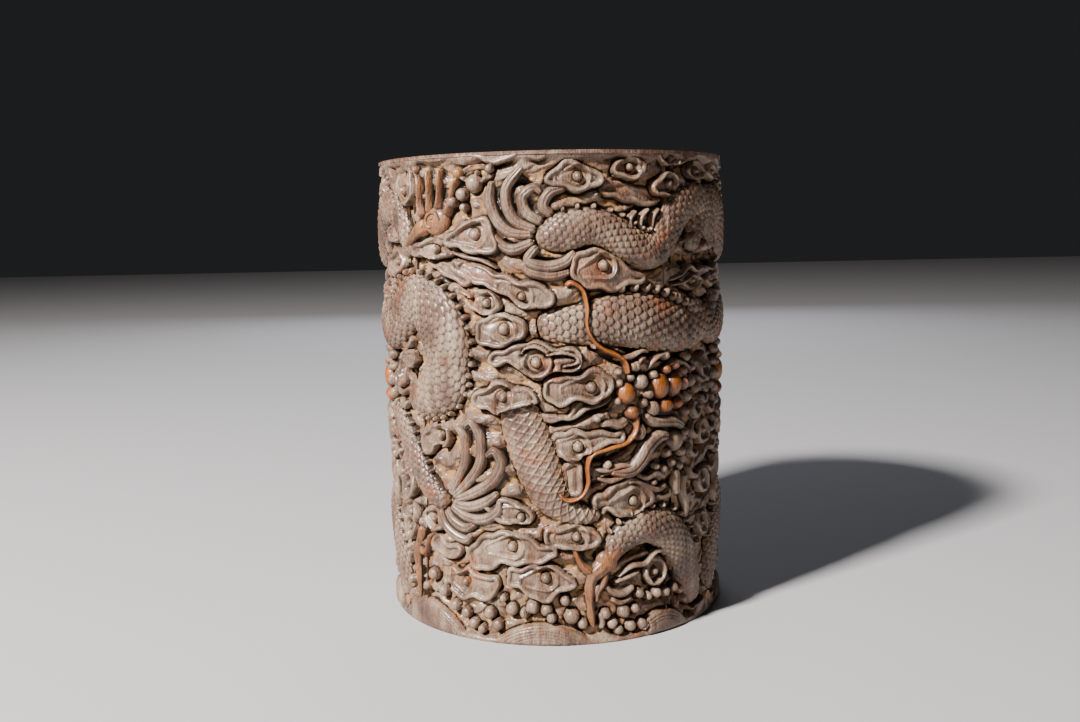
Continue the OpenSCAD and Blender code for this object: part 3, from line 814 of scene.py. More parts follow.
def sweep(rows_of_run, skin):
    """A round-backed run over the ground, closed at both ends: its points, its faces with four and
    with three corners, and how deep its own fine cuts are at each point."""
    line = smooth_line(rows_of_run, RES)
    n = len(line)
    step = np.gradient(line[:, :2], axis=0)
    step /= np.linalg.norm(step, axis=1)[:, None] + 1e-9
    run = np.concatenate([[0], np.cumsum(np.hypot(*np.diff(line[:, :2], axis=0).T))])
    half, crest = line[:, 2].copy(), line[:, 3] - 0.3
    ease = max(0.8, min(half[0], 2.2)), max(0.8, min(half[-1], 2.2))
    tip = np.minimum(np.clip(run / ease[0], 0, 1), np.clip((run[-1] - run) / ease[1], 0, 1))
    tip = np.sqrt(np.clip(1 - (1 - tip) ** 2, 0.02, 1))
    half, crest = half * tip, -0.6 + (crest + 0.6) * tip
    m = int(np.clip(3.1 * half.max() / RES, 9, 90))
    lean = np.linspace(-math.pi / 2, math.pi / 2, m)[None]
    bend = np.cos(lean)
    across = half[:, None] * np.sin(lean)
    low = -0.5
    up_from = low + (crest[:, None] - low) * bend ** 0.75
    grain = skin(run[:, None] + 0 * lean, half[:, None] * lean * 0.95 + 0 * run[:, None])
    fade = np.clip(bend * 2.2, 0, 1) * tip[:, None]
    rise = up_from + grain * fade * np.maximum(bend, 0.35)
    across = across + grain * fade * np.sin(lean) * 0.8
    along = line[:, :1] - step[:, 1:] * across
    up = line[:, 1:2] + step[:, :1] * across
    up = np.clip(up, RUN_LOWEST, RUN_HIGHEST)
    ring_rise = np.hstack([rise, np.full((n, 1), -ROOT)])
    ring_along = np.hstack([along, line[:, :1]])
    ring_up = np.hstack([up, np.clip(line[:, 1:2], RUN_LOWEST, RUN_HIGHEST)])
    points = on_pot(ring_along, ring_up, ring_rise).reshape(-1, 3)
    mark(along, up, rise)
    values = np.zeros(ring_rise.shape)
    # How deep each point lies in its own grooves, between scales and along hairs, which deepens the painted
    # shade in the cuts.
    values[:, :-1] = -1.1 * (grain - np.median(grain)) * fade - 0.4 * np.clip(1.6 - half, 0, 1)[:, None]
    w = m + 1
    index = np.arange(n * w).reshape(n, w)
    after = np.roll(index, -1, 1)
    quads = np.stack([index[:-1], after[:-1], after[1:], index[1:]], -1).reshape(-1, 4)[:, ::-1]
    ends = np.array([n * w, n * w + 1])
    caps = np.concatenate([
        np.stack([np.full(w, ends[0]), index[0], after[0]], -1)[:, ::-1],
        np.stack([np.full(w, ends[1]), after[-1], index[-1]], -1)[:, ::-1]])
    poles = points.reshape(n, w, 3)[[0, -1]].mean(1)
    points = np.vstack([points, poles])
    values = np.concatenate([values.ravel(), [0, 0]])
    return points, quads, caps, values


def sweep_piece(name, runs, skin, material):
    """Several runs as one piece."""
    points, quads, caps, values, shift = [], [], [], [], 0
    for rows_of_run in runs:
        p, q, c, v = sweep(rows_of_run, skin)
        points.append(p)
        quads.append(q + shift)
        caps.append(c + shift)
        values.append(v)
        shift += len(p)
    piece = piece_from(name, np.vstack(points), [np.vstack(quads), np.vstack(caps)], np.concatenate(values))
    pick(piece)
    bpy.ops.object.mode_set(mode="EDIT")
    bpy.ops.mesh.select_all(action="SELECT")
    bpy.ops.mesh.normals_make_consistent(inside=False)
    bpy.ops.object.mode_set(mode="OBJECT")
    piece.data.materials.append(material)
    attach(piece, "root")
    return piece


# The net body starts a little farther up than its clearing, under the cloud that hides its end.
SKINS = {"net_body": net, "long_back": broad_scales, "coil_above": broad_scales, "coil_below": broad_scales}
HIDDEN_START = {"net_body": [(-13.6, 80, 5, 1.2)]}
for body_name, body_rows in BODIES.items():
    body_rows = HIDDEN_START.get(body_name, []) + body_rows
    for place, side_name in zip(REPEATS, ("front", "right", "left")):
        sweep_piece(f"dragon_{body_name}_{side_name}", [repeat(body_rows, place)],
                    SKINS.get(body_name, scales), brown_bamboo)


# ---------------------------------------------------------------------------------------------
# Tail tufts, whiskers, flames, spines, claws and legs: thin strokes left standing, rounded over and
# rubbed by hands until the oldest high places show amber and red.
amber_bamboo = carved_bamboo("carved_bamboo_rubbed_amber", "#321709", "#703b10", "#a05c1a", "#86592a",
                             0.6, 0.25)
red_bamboo = carved_bamboo("carved_bamboo_rubbed_red", "#26120a", "#6b452a", "#986438", "#9a7450", 0.9, 0.29)


def hair(run, across):
    """One groove along the middle of a lock of hair, with faint lines beside it."""
    return 0.14 - 0.32 * np.exp(-(across / 0.34) ** 2) - 0.05 * np.cos(2 * math.pi * across / 0.9)


def sinew(run, across):
    """Soft dents along a leg or a claw, where the knife left it uneven."""
    return 0.12 * np.sin(run / 1.3) + 0.08 * np.cos(2 * math.pi * across / 1.6)


def everywhere(strokes):
    """The strokes in every repeat of the design."""
    return [repeat(stroke, place) for stroke in strokes for place in REPEATS]


TUFTS = [
    [(-5, 126, 1.5, 3.2), (-12, 126.4, 1.9, 3.6), (-16.4, 130, 2.0, 3.8), (-18.6, 136, 1.9, 3.6),
     (-18, 142, 1, 3)],
    [(-4, 127, 1.5, 3.2), (-10, 129.4, 1.9, 3.8), (-13, 134, 2.0, 3.9), (-13, 140, 1.8, 3.8),
     (-8, 146, 1, 3)],
    [(-2, 129, 1.5, 3.2), (-7, 132, 1.9, 3.8), (-8.4, 136.6, 1.9, 3.9), (-5, 139.4, 1.5, 3.4),
     (-2.4, 137.4, 0.9, 3)],
    [(1, 131, 1.5, 3), (-2, 134, 1.9, 3.6), (0, 138, 1.8, 3.6), (5, 139.4, 1, 3)],
    [(-5, 124, 1.5, 3.2), (-11, 121.6, 1.8, 3.6), (-15, 122.6, 1.6, 3.6), (-19, 127, 1, 3)],
    [(-4, 122.6, 1.5, 3.4), (-7, 118.4, 1.8, 3.7), (-2, 116.2, 1.9, 3.8), (4, 117.4, 1.8, 3.7),
     (7.4, 121, 0.9, 3)],
    [(-9, 118, 1, 3), (-7, 115, 1.5, 3.4), (0, 113.6, 1.6, 3.5), (6, 115, 1, 3)],
    [(-37, 45, 1.5, 3.2), (-33.6, 50, 1.9, 3.7), (-30, 57, 2.0, 3.9), (-30.2, 64, 1.9, 3.8),
     (-33.6, 67.6, 1, 3.2)],
    [(-36, 44.6, 1.5, 3.2), (-30, 49.4, 2.0, 3.8), (-25, 55.6, 2.1, 4), (-24, 63, 2.0, 3.9),
     (-27.4, 69, 1.5, 3.5), (-30.6, 67.4, 0.9, 3)],
    [(-35, 44, 1.5, 3.2), (-27, 47, 2.1, 3.9), (-20.6, 51, 2.2, 4.1), (-17.4, 56.4, 2.1, 4),
     (-19.6, 60.4, 1.6, 3.7), (-23, 58.4, 0.9, 3.2)],
    [(-36, 43, 1.5, 3.2), (-29, 42.4, 2.0, 3.8), (-23, 44.4, 2.0, 3.9), (-18.6, 47.6, 1.1, 3.4)],
    [(-37, 42, 1.5, 3.2), (-30, 39, 1.9, 3.7), (-24, 38.8, 1.9, 3.8), (-19, 41.6, 1.8, 3.7),
     (-18.4, 45.4, 0.9, 3.2)],
    [(-39, 41, 1.5, 3.2), (-36, 37.4, 1.9, 3.7), (-31, 35.4, 1.9, 3.7), (-27, 37.4, 1, 3.2)],
    [(-42, 40.6, 1.5, 3.2), (-40, 36, 1.9, 3.6), (-36, 33, 2.0, 3.8), (-31, 31.6, 1.8, 3.5),
     (-28.6, 34, 0.9, 3)],
]
sweep_piece("tail_tufts", everywhere(TUFTS), hair, brown_bamboo)

WHISKERS = [
    [(24, 83, 0.94, 4), (23, 87, 0.85, 4.2), (20, 89.4, 0.85, 4.3), (15.6, 91.4, 0.81, 4.3),
     (12.4, 94.4, 0.77, 4.2), (10.6, 98.6, 0.72, 4.2), (10.8, 104, 0.68, 4.1), (9.6, 109, 0.72, 4),
     (6, 111.4, 0.94, 3.8), (4.2, 110.2, 0.77, 3.4)],
    [(27, 71, 1.1, 4), (26.6, 66, 1.1, 4.2), (23.4, 62.4, 1.02, 4.2), (17, 60.8, 0.94, 4.2),
     (12, 59.4, 0.94, 4.2), (10.4, 56, 0.85, 4.2), (10.4, 50.4, 0.85, 4.1), (8, 46.6, 0.85, 4),
     (4, 45.4, 0.77, 3.8), (1, 47.6, 0.59, 3.4)],
]
sweep_piece("whiskers", everywhere(WHISKERS), plain, amber_bamboo)

FLAMES = [
    [(41, 111, 0.6, 3), (46, 112.6, 0.9, 3.6), (50, 115, 0.9, 3.7), (54, 113.4, 0.8, 3.6),
     (60, 114.4, 0.5, 3)],
    [(42, 109.4, 0.6, 3), (48, 110.4, 0.9, 3.6), (52, 112, 0.8, 3.6), (57, 110.6, 0.5, 3)],
    [(51, 120, 0.8, 3), (50.6, 123.4, 1, 3.7), (53.4, 125.6, 0.8, 3.6), (56, 124.6, 0.5, 3)],
    [(20, 88, 0.6, 3), (25, 88.4, 0.9, 3.7), (29, 90, 0.8, 3.7), (32, 89.4, 0.5, 3)],
    [(27, 84, 0.6, 3), (28.4, 87.4, 0.9, 3.8), (31, 88, 0.6, 3.2)],
    [(31, 84, 0.6, 3), (33.6, 87, 1, 3.9), (37.6, 88.4, 0.8, 3.7), (40.4, 87.4, 0.5, 3)],
    [(38, 84, 0.6, 3), (42, 85.6, 1, 3.9), (46.4, 85, 1, 3.9), (51, 82.6, 0.8, 3.4)],
    [(26, 126, 0.6, 3), (25, 129.6, 0.9, 3.6), (27.4, 132.4, 0.6, 3.4)],
    [(29, 126, 0.6, 3), (29, 130, 0.9, 3.6), (32, 133, 0.6, 3.4)],
    [(33, 126.6, 0.6, 3), (33.6, 130.6, 0.9, 3.6), (36, 133, 0.6, 3.4)],
    [(20, 20, 0.6, 3), (25, 23, 1, 3.8), (30, 23, 0.9, 3.8), (34, 26, 0.9, 3.8), (40, 26, 0.6, 3)],
    [(19, 18.4, 0.6, 3), (24, 20, 1, 3.7), (28, 21, 0.7, 3.4)],
    [(12, 55, 0.6, 2.8), (16, 54, 1, 3.4), (22, 55, 1, 3.6), (27, 54, 0.7, 3.2)],
    [(13, 52, 0.6, 2.8), (18, 50.6, 1, 3.4), (24, 52.4, 0.8, 3.4)],
]
sweep_piece("flames", everywhere(FLAMES), plain, brown_bamboo)

LEGS = [
    [(21, 30.6, 2.6, 4), (18, 27, 3.2, 4.2), (14.6, 23.6, 3.2, 4.3), (11.4, 20.6, 2.6, 4.2),
     (10.6, 15, 1.7, 4.1), (11, 9, 1.4, 4), (11.6, 4.6, 0.9, 3.6)],
    [(12, 22, 1.8, 3.8), (8.6, 24.6, 1.5, 4), (6.6, 28, 1.2, 3.8), (5.4, 31, 0.8, 3.4)],
    [(16, 23, 1.4, 3.4), (15, 19, 1.6, 3.9), (13, 16, 1.4, 3.8), (12.6, 12.6, 0.9, 3.4)],
    [(-52, 33, 1.4, 3.2), (-54, 27, 2.2, 3.9), (-55.4, 22, 2, 4), (-54.6, 16, 1.5, 3.9),
     (-53.6, 10, 1.2, 3.8), (-53, 5, 0.8, 3.2)],
    [(-54, 26, 1, 3.2), (-51, 24, 1.4, 3.8), (-48.6, 27, 1.1, 3.6), (-47.4, 31, 0.8, 3.2)],
    [(-54, 122.6, 0.9, 3.2), (-51, 125, 1.7, 3.9), (-46.6, 127.8, 2.6, 4.2), (-42, 129.6, 3, 4.2)],
    [(-44.6, 131, 1.9, 3.9), (-45.6, 135.6, 1.3, 4), (-45.4, 141, 1.2, 3.9), (-46.4, 145, 1.0, 3.6)],
    [(-41.2, 132, 1.9, 3.9), (-41, 136.6, 1.3, 4), (-40.8, 142, 1.2, 4), (-41.4, 146, 1.0, 3.6)],
    [(-37.4, 133, 1.9, 3.9), (-36.8, 137, 1.3, 4), (-36.2, 142, 1.2, 4), (-36, 146, 1.0, 3.6)],
    [(-35, 131.6, 1.9, 3.9), (-32.2, 136, 1.4, 4), (-30.8, 140.4, 1.3, 4), (-29, 143.6, 1.2, 3.8)],
    [(-35.6, 130, 0.5, 4.3), (-36.8, 132.4, 0.6, 4.7), (-39, 132.8, 0.6, 4.8), (-41, 131.2, 0.6, 4.8),
     (-40.6, 129, 0.6, 4.7), (-38.6, 128.4, 0.5, 4.4)],
    [(-38, 129.6, 0.5, 4.4), (-39.4, 130.8, 0.5, 4.7), (-37.6, 131.2, 0.4, 4.5)],
]
sweep_piece("legs_and_claws", everywhere(LEGS), sinew, red_bamboo)

CLAW_BOWLS = [
    [(12.6, 14, 1.4, 3.4), (12.6, 17, 1.7, 3.9), (14.2, 18.6, 1.2, 3.6)],
    [(15.6, 18.4, 0.9, 3.4), (18, 15.6, 1.4, 3.9), (22, 14.8, 1.6, 4), (26, 16.8, 1.1, 3.6)],
    [(17.6, 13.4, 0.9, 3.2), (21, 11.8, 1.2, 3.7), (25, 13.6, 0.9, 3.4)],
    [(13.6, 9.6, 0.9, 3.2), (14.6, 6.6, 1.3, 3.8), (13.6, 4, 1.1, 3.6)],
]
sweep_piece("claw_rolls", everywhere(CLAW_BOWLS), plain, brown_bamboo)


def spine_row(body_name, first, last, count, size, lean=0.5):
    """Small pointed fins along the upper edge of a dragon's back, from one share of its length to
    another, leaning along it."""
    line = smooth_line(BODIES[body_name], 0.5)
    step = np.gradient(line[:, :2], axis=0)
    step /= np.linalg.norm(step, axis=1)[:, None]
    fins = []
    for k in np.linspace(first, last, count):
        i = int(k * (len(line) - 1))
        out = np.array([-step[i, 1], step[i, 0]])
        foot = line[i, :2] + out * (line[i, 2] - 0.8)
        tip = foot + out * (size + 0.8) + step[i] * size * lean
        middle = (foot + tip) / 2 + out * 0.3 - step[i] * 0.15
        fins.append([(*foot, 0.5 * size + 0.4, 3.6), (*middle, 0.3 * size + 0.3, 4), (*tip, 0.15, 3.4)])
    return fins


SPINES = spine_row("long_back", 0.34, 0.7, 9, 2.9) + spine_row("high_tail", 0.12, 0.45, 9, 1.3)
SPINES += spine_row("coil_above", 0.12, 0.95, 18, 1.9) + spine_row("coil_below", 0.2, 0.85, 9, 1.5, -0.5)
SPINES += spine_row("low_arch", 0.1, 0.7, 12, 1.5) + spine_row("left_tail", 0.05, 0.7, 9, 1.2)
sweep_piece("spines", everywhere(SPINES), plain, brown_bamboo)


# ---------------------------------------------------------------------------------------------
# The dragon's head: domes for nose, brows, cheeks and beard, worked up from one high block and
# rubbed bright on its highest places, with a rolled lip above and a tongue below.
DOME_DEPTH = 2.6


def domes(name, spots, material):
    """Round domes, each squashed down onto the pot: along, up, half length, half height, rise, turn."""
    parts = []
    for spot in spots:
        for place in REPEATS:
            (along, up, long_r, short_r, rise, turn), = repeat([spot], place)
            bpy.ops.object.select_all(action="DESELECT")
            bpy.ops.mesh.primitive_uv_sphere_add(segments=24, ring_count=14, radius=1)
            dome = bpy.context.object
            tilt = math.radians(turn) * place[1]
            facing = Matrix.Rotation(along / LAYOUT_R, 4, "Z")
            size = Matrix.Diagonal((long_r * MM, DOME_DEPTH * MM, short_r * MM, 1))
            here = Vector(on_pot(along, up, rise - DOME_DEPTH))
            dome.data.transform(Matrix.Translation(here) @ facing @ Matrix.Rotation(-tilt, 4, "Y") @ size)
            dome.data.polygons.foreach_set("use_smooth", [True] * len(dome.data.polygons))
            parts.append(dome)
    bpy.ops.object.select_all(action="DESELECT")
    for dome in parts:
        dome.select_set(True)
    bpy.context.view_layer.objects.active = parts[0]
    bpy.ops.object.join()
    piece = bpy.context.object
    piece.name = name
    piece.data.name = name
    mark(*read_places(piece))
    piece.data.attributes.new("hollow", "FLOAT", "POINT")
    piece.data.attributes.new("crevice", "FLOAT", "POINT")
    piece.data.materials.clear()
    piece.data.materials.append(material)
    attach(piece, "root")
    return piece


domes("palms", [(-38.6, 130.4, 5.2, 4.4, 4.1, 12), (-29, 144.4, 2, 2, 4.2, 0), (-46.6, 146, 1.2, 1.4, 3.8, 0),
                (16.4, 25.6, 3.4, 3.8, 4.2, 30)], red_bamboo)
domes("head_rubbed_domes", [
    (23.4, 77.4, 3, 3.3, 4.6, 14), (25.4, 71.4, 2.3, 2.2, 4.5, -10), (36.2, 78.6, 3.3, 4, 4.7, 10),
    (42.2, 78.6, 3, 3.8, 4.7, -10), (38.6, 83.6, 1.8, 1.6, 4.4, 0), (38.6, 72.4, 2.9, 2.4, 4.5, 0),
    (43.8, 72.6, 2.2, 2, 4.4, 0)], amber_bamboo)
domes("head_domes", [
    (28.8, 80.6, 2.5, 2.5, 4.2, 0), (27, 85.6, 1.6, 1.8, 4, 0), (25, 82.2, 1.5, 1.4, 3.8, 0),
    (21, 80.6, 1.5, 1.3, 3.8, 30), (20.4, 75.2, 1.3, 1.5, 3.8, 0), (31.6, 76.6, 2, 1.8, 4, 0),
    (29.6, 74, 1.8, 1.6, 4, 0), (33.6, 82.4, 1.7, 1.5, 4, 0), (33.2, 72, 2.3, 2.6, 4.5, 0),
    (42.8, 84.6, 1.9, 1.6, 4.1, 0), (47, 82.4, 1.6, 1.6, 4, 0), (47.4, 78.4, 1.7, 2.3, 4.1, 0),
    (38.6, 88, 1.7, 1.7, 3.9, 0), (48.6, 86.8, 2.1, 1.9, 3.9, 0), (51.6, 83, 1.5, 1.5, 3.8, 0),
    (49.2, 74, 1.8, 2, 4, 0), (48, 69.4, 1.7, 1.7, 4, 0), (51.6, 78.8, 1.5, 2.2, 3.9, 0),
    (54.4, 76, 1.5, 2, 3.8, 0), (42.8, 60.6, 3.6, 3.4, 4.4, 0), (39, 57.4, 1.8, 1.8, 4.1, 0),
    (47.4, 63, 1.9, 1.9, 4.1, 0), (46, 56.8, 1.8, 1.7, 4, 0), (37.6, 52.4, 1.6, 1.5, 3.9, 0),
    (41.4, 54, 1.4, 1.6, 3.9, 0), (34.6, 53.6, 1.4, 1.3, 3.8, 0), (45, 52.4, 1.5, 1.7, 3.9, 0),
    (33.4, 48.6, 1.6, 1.2, 3.7, 0), (16.6, 55.4, 1.2, 1.2, 3.6, 0), (20.8, 84, 1.4, 1.1, 3.6, 20),
    (13.6, 70.2, 1.5, 1.2, 3.6, 0), (18, 68.6, 1.2, 1, 3.5, 0)], brown_bamboo)
JAWS = [
    [(30, 70.4, 1, 3.8), (33, 68, 1.8, 4.3), (37.6, 67.4, 2, 4.5), (42.6, 66.8, 1.9, 4.5),
     (47, 64.4, 1.4, 4.1)],
    [(17.6, 53.6, 0.9, 3.4), (21, 53, 1.6, 3.9), (25, 53.2, 2.4, 4.2), (28.4, 56, 2.9, 4.5),
     (31.6, 60.4, 2.9, 4.6), (36, 63, 2.5, 4.5), (40, 62.4, 1.7, 4)],
    [(24, 69.4, 1, 3.6), (21, 68, 1.6, 4), (17.6, 68.6, 1.2, 3.8), (14.6, 68.2, 0.9, 3.4)],
    [(27.6, 68, 1.3, 3.8), (29, 65, 1.6, 4.1), (27.6, 62.6, 1, 3.7)],
    [(43.4, 52, 1.4, 3.9), (43.2, 47, 1.8, 4.2), (43.8, 42.6, 1.3, 3.8)],
    [(47, 49.6, 1.1, 3.6), (46.6, 44, 1.5, 4), (48.4, 38.6, 1.5, 4), (47.4, 34.6, 1.1, 3.6)],
    [(53.4, 72.6, 0.7, 3.6), (52, 69.6, 1.3, 4), (54.6, 67, 1.3, 4), (57.4, 68.6, 0.8, 3.7),
     (56.4, 70.4, 0.5, 3.4)],
    [(52.6, 65.6, 0.7, 3.6), (51.2, 62.6, 1.2, 4), (54, 60.6, 1.2, 4), (56.4, 62, 0.7, 3.6)],
    [(51.4, 58.8, 0.7, 3.6), (50.6, 56, 1.1, 4), (53.4, 54.4, 1.1, 4), (55.6, 56, 0.7, 3.6)],
    [(50, 51.6, 0.7, 3.6), (51.4, 48.4, 1.2, 4), (55, 47.4, 1.1, 3.9), (57, 49.4, 0.6, 3.5)],
    [(55, 80, 0.7, 3.5), (58.6, 78, 1.2, 3.9), (61.6, 80.4, 0.8, 3.5)],
    [(58, 73.6, 0.7, 3.5), (61, 71, 1.1, 3.9), (63.6, 73, 0.7, 3.5)],
    [(38.4, 49.6, 0.8, 3.4), (34.6, 51.4, 1.1, 3.8), (30.6, 50.4, 1.1, 3.8), (27, 52, 0.8, 3.4)],
    [(39, 47.4, 0.8, 3.4), (35, 46.2, 1.2, 3.9), (31, 47.6, 1.1, 3.8), (26.6, 49.8, 0.8, 3.5),
     (23.6, 49.4, 0.5, 3.2)],
    [(40.6, 44.4, 0.8, 3.4), (37, 43.4, 1.1, 3.8), (34, 44.6, 0.8, 3.5)],
]
sweep_piece("jaws_and_mane", everywhere(JAWS), hair, brown_bamboo)


# ---------------------------------------------------------------------------------------------
# Dust, painted sheen and painted shade. Years of hands polish what stands proud, and there it is also
# painted paler as sheen; dust stays in what lies low. So each point of the carving gets the depth it lies
# below its wider surroundings, for the dust and the painted sheen, and below its near ones, for the painted
# shade in the cuts, in millimetres.
def blurred(field, radius):
    """The field after a round blur of that radius in millimetres, closed up round the pot."""
    mirrored = np.vstack([field, field[::-1]])
    f_up = np.fft.fftfreq(mirrored.shape[0], grid_up[1] - grid_up[0])
    f_along = np.fft.rfftfreq(columns, ROUND / columns)
    keep = np.exp(-2 * (math.pi * radius) ** 2 * (f_up[:, None] ** 2 + f_along[None] ** 2))
    return np.fft.irfft2(np.fft.rfft2(mirrored) * keep, mirrored.shape)[:field.shape[0]]


def read(field, along, up):
    """The field's value at any places on the pot."""
    x = (along / ROUND + 0.5) * columns
    y = np.clip((up - grid_up[0]) / (grid_up[1] - grid_up[0]), 0, rows - 1.001)
    x0, y0 = np.floor(x).astype(int), np.floor(y).astype(int)
    fx, fy = x - x0, y - y0
    x0, x1 = x0 % columns, (x0 + 1) % columns
    return ((field[y0, x0] * (1 - fx) + field[y0, x1] * fx) * (1 - fy)
            + (field[y0 + 1, x0] * (1 - fx) + field[y0 + 1, x1] * fx) * fy)


LOWEST_CARVING = -2.6
tight_level = blurred(skyline, 0.8)
near_level = blurred(skyline, 1.4)
far_level = blurred(skyline, 3.5)
for piece in bpy.data.objects:
    if piece.type == "MESH" and "hollow" in piece.data.attributes:
        hollow = piece.data.attributes["hollow"].data
        crevice = piece.data.attributes["crevice"].data
        along, up, rise = read_places(piece)
        carved = (rise > LOWEST_CARVING) & (up < POT_H - LIP_H)
        if piece.name.startswith("carved_wall"):
            rise = np.where(carved, read(carving, along, up), rise)
        below = 0.6 * read(near_level, along, up) + 0.4 * read(far_level, along, up) - rise
        hollow.foreach_set("value", np.where(carved, below, 0).astype(np.float32))
        own = np.empty(len(along))
        crevice.foreach_get("value", own)
        tight = own + read(tight_level, along, up) - rise
        crevice.foreach_set("value", np.where(carved, tight, 0).astype(np.float32))


# ---------------------------------------------------------------------------------------------
# The floor: a turned disc of dense dark hardwood, let in from below and pushed up to a shoulder.
# Turning left fine rings on its face, and its lower edge is bevelled.
FLOOR_BEVEL = 0.8
FACE_RINGS = 6
RING_W = 7
floor_r = floor_high.x
floor_t = floor_high.z - floor_low.z
bpy.ops.object.select_all(action="DESELECT")
bpy.ops.mesh.primitive_cylinder_add(vertices=160, radius=floor_r, depth=floor_t,
                                    location=(0, 0, (floor_low.z + floor_high.z) / 2))
floor_disc = bpy.context.object
floor_disc.name = "floor_board"
bpy.ops.object.transform_apply(location=True)
bpy.ops.object.mode_set(mode="EDIT")
bpy.ops.mesh.select_mode(type="FACE")
bpy.ops.mesh.select_all(action="DESELECT")
bpy.ops.object.mode_set(mode="OBJECT")
for face in floor_disc.data.polygons:
    face.select = abs(face.normal.z) > 0.9
bpy.ops.object.mode_set(mode="EDIT")
bpy.ops.mesh.inset(thickness=FLOOR_BEVEL * MM, depth=0)
for _ in range(FACE_RINGS):
    bpy.ops.mesh.inset(thickness=RING_W * MM, depth=0)
bpy.ops.object.mode_set(mode="OBJECT")
for vertex in floor_disc.data.vertices:
    across = math.hypot(vertex.co.x, vertex.co.y)
    if across > floor_r - 0.1 * FLOOR_BEVEL * MM and vertex.co.z < floor_low.z + 0.1 * MM:
        vertex.co.z += FLOOR_BEVEL * MM
floor_disc.data.polygons.foreach_set("use_smooth", [True] * len(floor_disc.data.polygons))
pick(floor_disc)
bpy.ops.object.shade_smooth_by_angle(angle=math.radians(30))


# The hardwood is close-grained and dark, dull from dust, and the chisel's rings catch the light.
GRAIN_MM = 1.8
DUST_PATCH_MM = 9


def turned_hardwood(name, dark, light, ring_mm):
    """Hardwood with straight grain and turned rings."""
    material, tree, place = bare_material(name)
    grain_map = add_node(tree, "ShaderNodeMapping", inputs={"Vector": place, "Scale": (0.12, 1, 1)})
    grain = add_node(tree, "ShaderNodeTexNoise", None,
                     {"Vector": grain_map.outputs["Vector"], "Scale": 1 / (GRAIN_MM * MM), "Detail": 5.0,
                      "Distortion": 0.4})
    turned = add_node(tree, "ShaderNodeTexWave", {"wave_type": "RINGS", "rings_direction": "Z"},
                      {"Vector": place, "Scale": 1 / (ring_mm * 3.2 * MM), "Distortion": 0.6, "Detail": 2.0})
    dusty = add_node(tree, "ShaderNodeTexNoise", None,
                     {"Vector": place, "Scale": 1 / (DUST_PATCH_MM * MM), "Detail": 4.0})
    base = spread(tree, grain.outputs["Fac"], [(0.3, dark), (0.5, light), (0.72, dark)])
    dust_mask = add_node(tree, "ShaderNodeMapRange", None,
                         {"Value": dusty.outputs["Fac"], "From Min": 0.45, "From Max": 0.75, "To Min": 0.0,
                          "To Max": 0.35}).outputs[0]
    shown = add_node(tree, "ShaderNodeMix", {"data_type": "RGBA"},
                     {"Factor": dust_mask, "A": base, "B": colour("#8a7055")}).outputs["Result"]
    bump = add_node(tree, "ShaderNodeBump", None,
                    {"Height": turned.outputs["Fac"], "Strength": 0.25, "Distance": 0.15 * MM})
    rough = add_node(tree, "ShaderNodeMapRange", None,
                     {"Value": grain.outputs["Fac"], "To Min": 0.42, "To Max": 0.62}).outputs[0]
    shader = add_node(tree, "ShaderNodeBsdfPrincipled", None,
                      {"Base Color": shown, "Roughness": rough, "Normal": bump.outputs["Normal"]})
    add_node(tree, "ShaderNodeOutputMaterial", inputs={"Surface": shader.outputs["BSDF"]})
    return material


floor_disc.data.materials.append(turned_hardwood("dark_hardwood_turned", "#2a1610", "#4a2a1c", 0.8))
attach(floor_disc, "root")
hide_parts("floor_disc")


# ---------------------------------------------------------------------------------------------
# The lacquer bed: raw lacquer thickened with ash, pressed into the joint round the floor and
# struck off flush. It dries dark, matt and slightly gritty.
GRIT_MM = 0.5
lacquer, lacquer_tree, lacquer_place = bare_material("raw_lacquer_and_ash_matt")
grit = add_node(lacquer_tree, "ShaderNodeTexNoise", None,
                {"Vector": lacquer_place, "Scale": 1 / (GRIT_MM * MM), "Detail": 3.0})
lacquer_colour = spread(lacquer_tree, grit.outputs["Fac"], [(0.3, "#120a08"), (0.7, "#2c1c15")])
lacquer_bump = add_node(lacquer_tree, "ShaderNodeBump", None,
                        {"Height": grit.outputs["Fac"], "Strength": 0.5, "Distance": 0.1 * MM})
lacquer_shader = add_node(lacquer_tree, "ShaderNodeBsdfPrincipled", None,
                          {"Base Color": lacquer_colour, "Roughness": 0.7,
                           "Normal": lacquer_bump.outputs["Normal"]})
add_node(lacquer_tree, "ShaderNodeOutputMaterial", inputs={"Surface": lacquer_shader.outputs["BSDF"]})
for material_slot in frame["nodes"]["lacquer_seam"].material_slots:
    material_slot.material = lacquer


# ---------------------------------------------------------------------------------------------
# The pins: bamboo split and whittled round, driven through the foot into the floor and cut off
# flush. Their cut ends are paler than the handled wall.
pin_bamboo = carved_bamboo("pin_bamboo_cut_end", "#4a3222", "#8a6844", "#9c7a52", "#a08660", 0.4, 0.5)
for material_slot in frame["nodes"]["floor_pins"].material_slots:
    material_slot.material = pin_bamboo


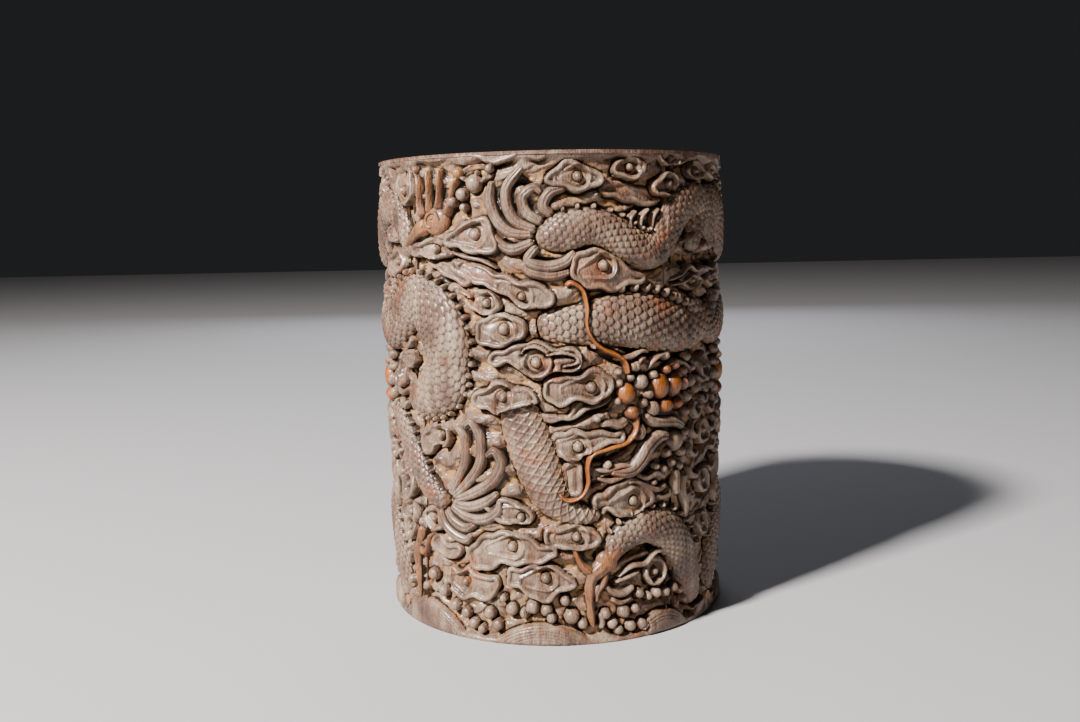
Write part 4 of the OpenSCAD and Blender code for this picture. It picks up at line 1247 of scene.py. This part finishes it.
# ---------------------------------------------------------------------------------------------
# The studio: a plain pale floor, a small bright softbox high on the left, a faint one on the right,
# a large dim one behind for the far side, and the camera a little below the rim.
bpy.ops.object.select_all(action="DESELECT")
bpy.ops.mesh.primitive_plane_add(size=6, location=(0, 0, 0))
floor = bpy.context.object
floor.name = "studio_floor"
floor_paper = bpy.data.materials.new("pale_paper_matt")
floor_paper.use_nodes = True
paper_shader = floor_paper.node_tree.nodes["Principled BSDF"]
paper_shader.inputs["Base Color"].default_value = colour("#a9aaad")
paper_shader.inputs["Roughness"].default_value = 0.9
floor.data.materials.append(floor_paper)

world = bpy.data.worlds.new("studio")
bpy.context.scene.world = world
world.use_nodes = True
world.node_tree.nodes["Background"].inputs["Color"].default_value = colour("#b4b6ba")
world.node_tree.nodes["Background"].inputs["Strength"].default_value = 0.036


def softbox(name, place, aim, size, power, hex_value):
    """A soft rectangular light that is turned to its aim."""
    light = bpy.data.lights.new(name, "AREA")
    light.shape = "RECTANGLE"
    light.size, light.size_y = size
    light.energy = power
    light.color = colour(hex_value)[:3]
    lamp = bpy.data.objects.new(name, light)
    bpy.context.collection.objects.link(lamp)
    lamp.location = place
    lamp.rotation_euler = (Vector(aim) - Vector(place)).to_track_quat("-Z", "Y").to_euler()


softbox("key_softbox", (-0.77, -0.76, 0.92), (0, 0, 0.08), (0.14, 0.14), 79.0, "#fff8f2")
softbox("right_softbox", (0.7, -0.35, 0.35), (0, 0, 0.07), (0.4, 0.5), 0.05, "#f2f4ff")
softbox("back_softbox", (0.0, 1.1, 0.5), (0, 0, 0.07), (0.8, 0.6), 4.0, "#f2f4ff")

CAMERA_PLACE = (0.0, -0.3814, 0.1287)
CAMERA_PITCH = 7.07
CAMERA_YAW = 0.69
CAMERA_ROLL = -1.157
LENS = 36.67
camera = bpy.data.objects.new("camera", bpy.data.cameras.new("camera"))
bpy.context.collection.objects.link(camera)
camera.data.lens = LENS
camera.data.sensor_width = 36
camera.data.clip_start = 0.01
yaw = Matrix.Rotation(math.radians(CAMERA_YAW), 3, "Z")
pitch = Matrix.Rotation(math.radians(90 - CAMERA_PITCH), 3, "X")
roll = Matrix.Rotation(math.radians(CAMERA_ROLL), 3, "Z")
camera.rotation_euler = (yaw @ pitch @ roll).to_euler()
camera.location = CAMERA_PLACE
bpy.context.scene.camera = camera
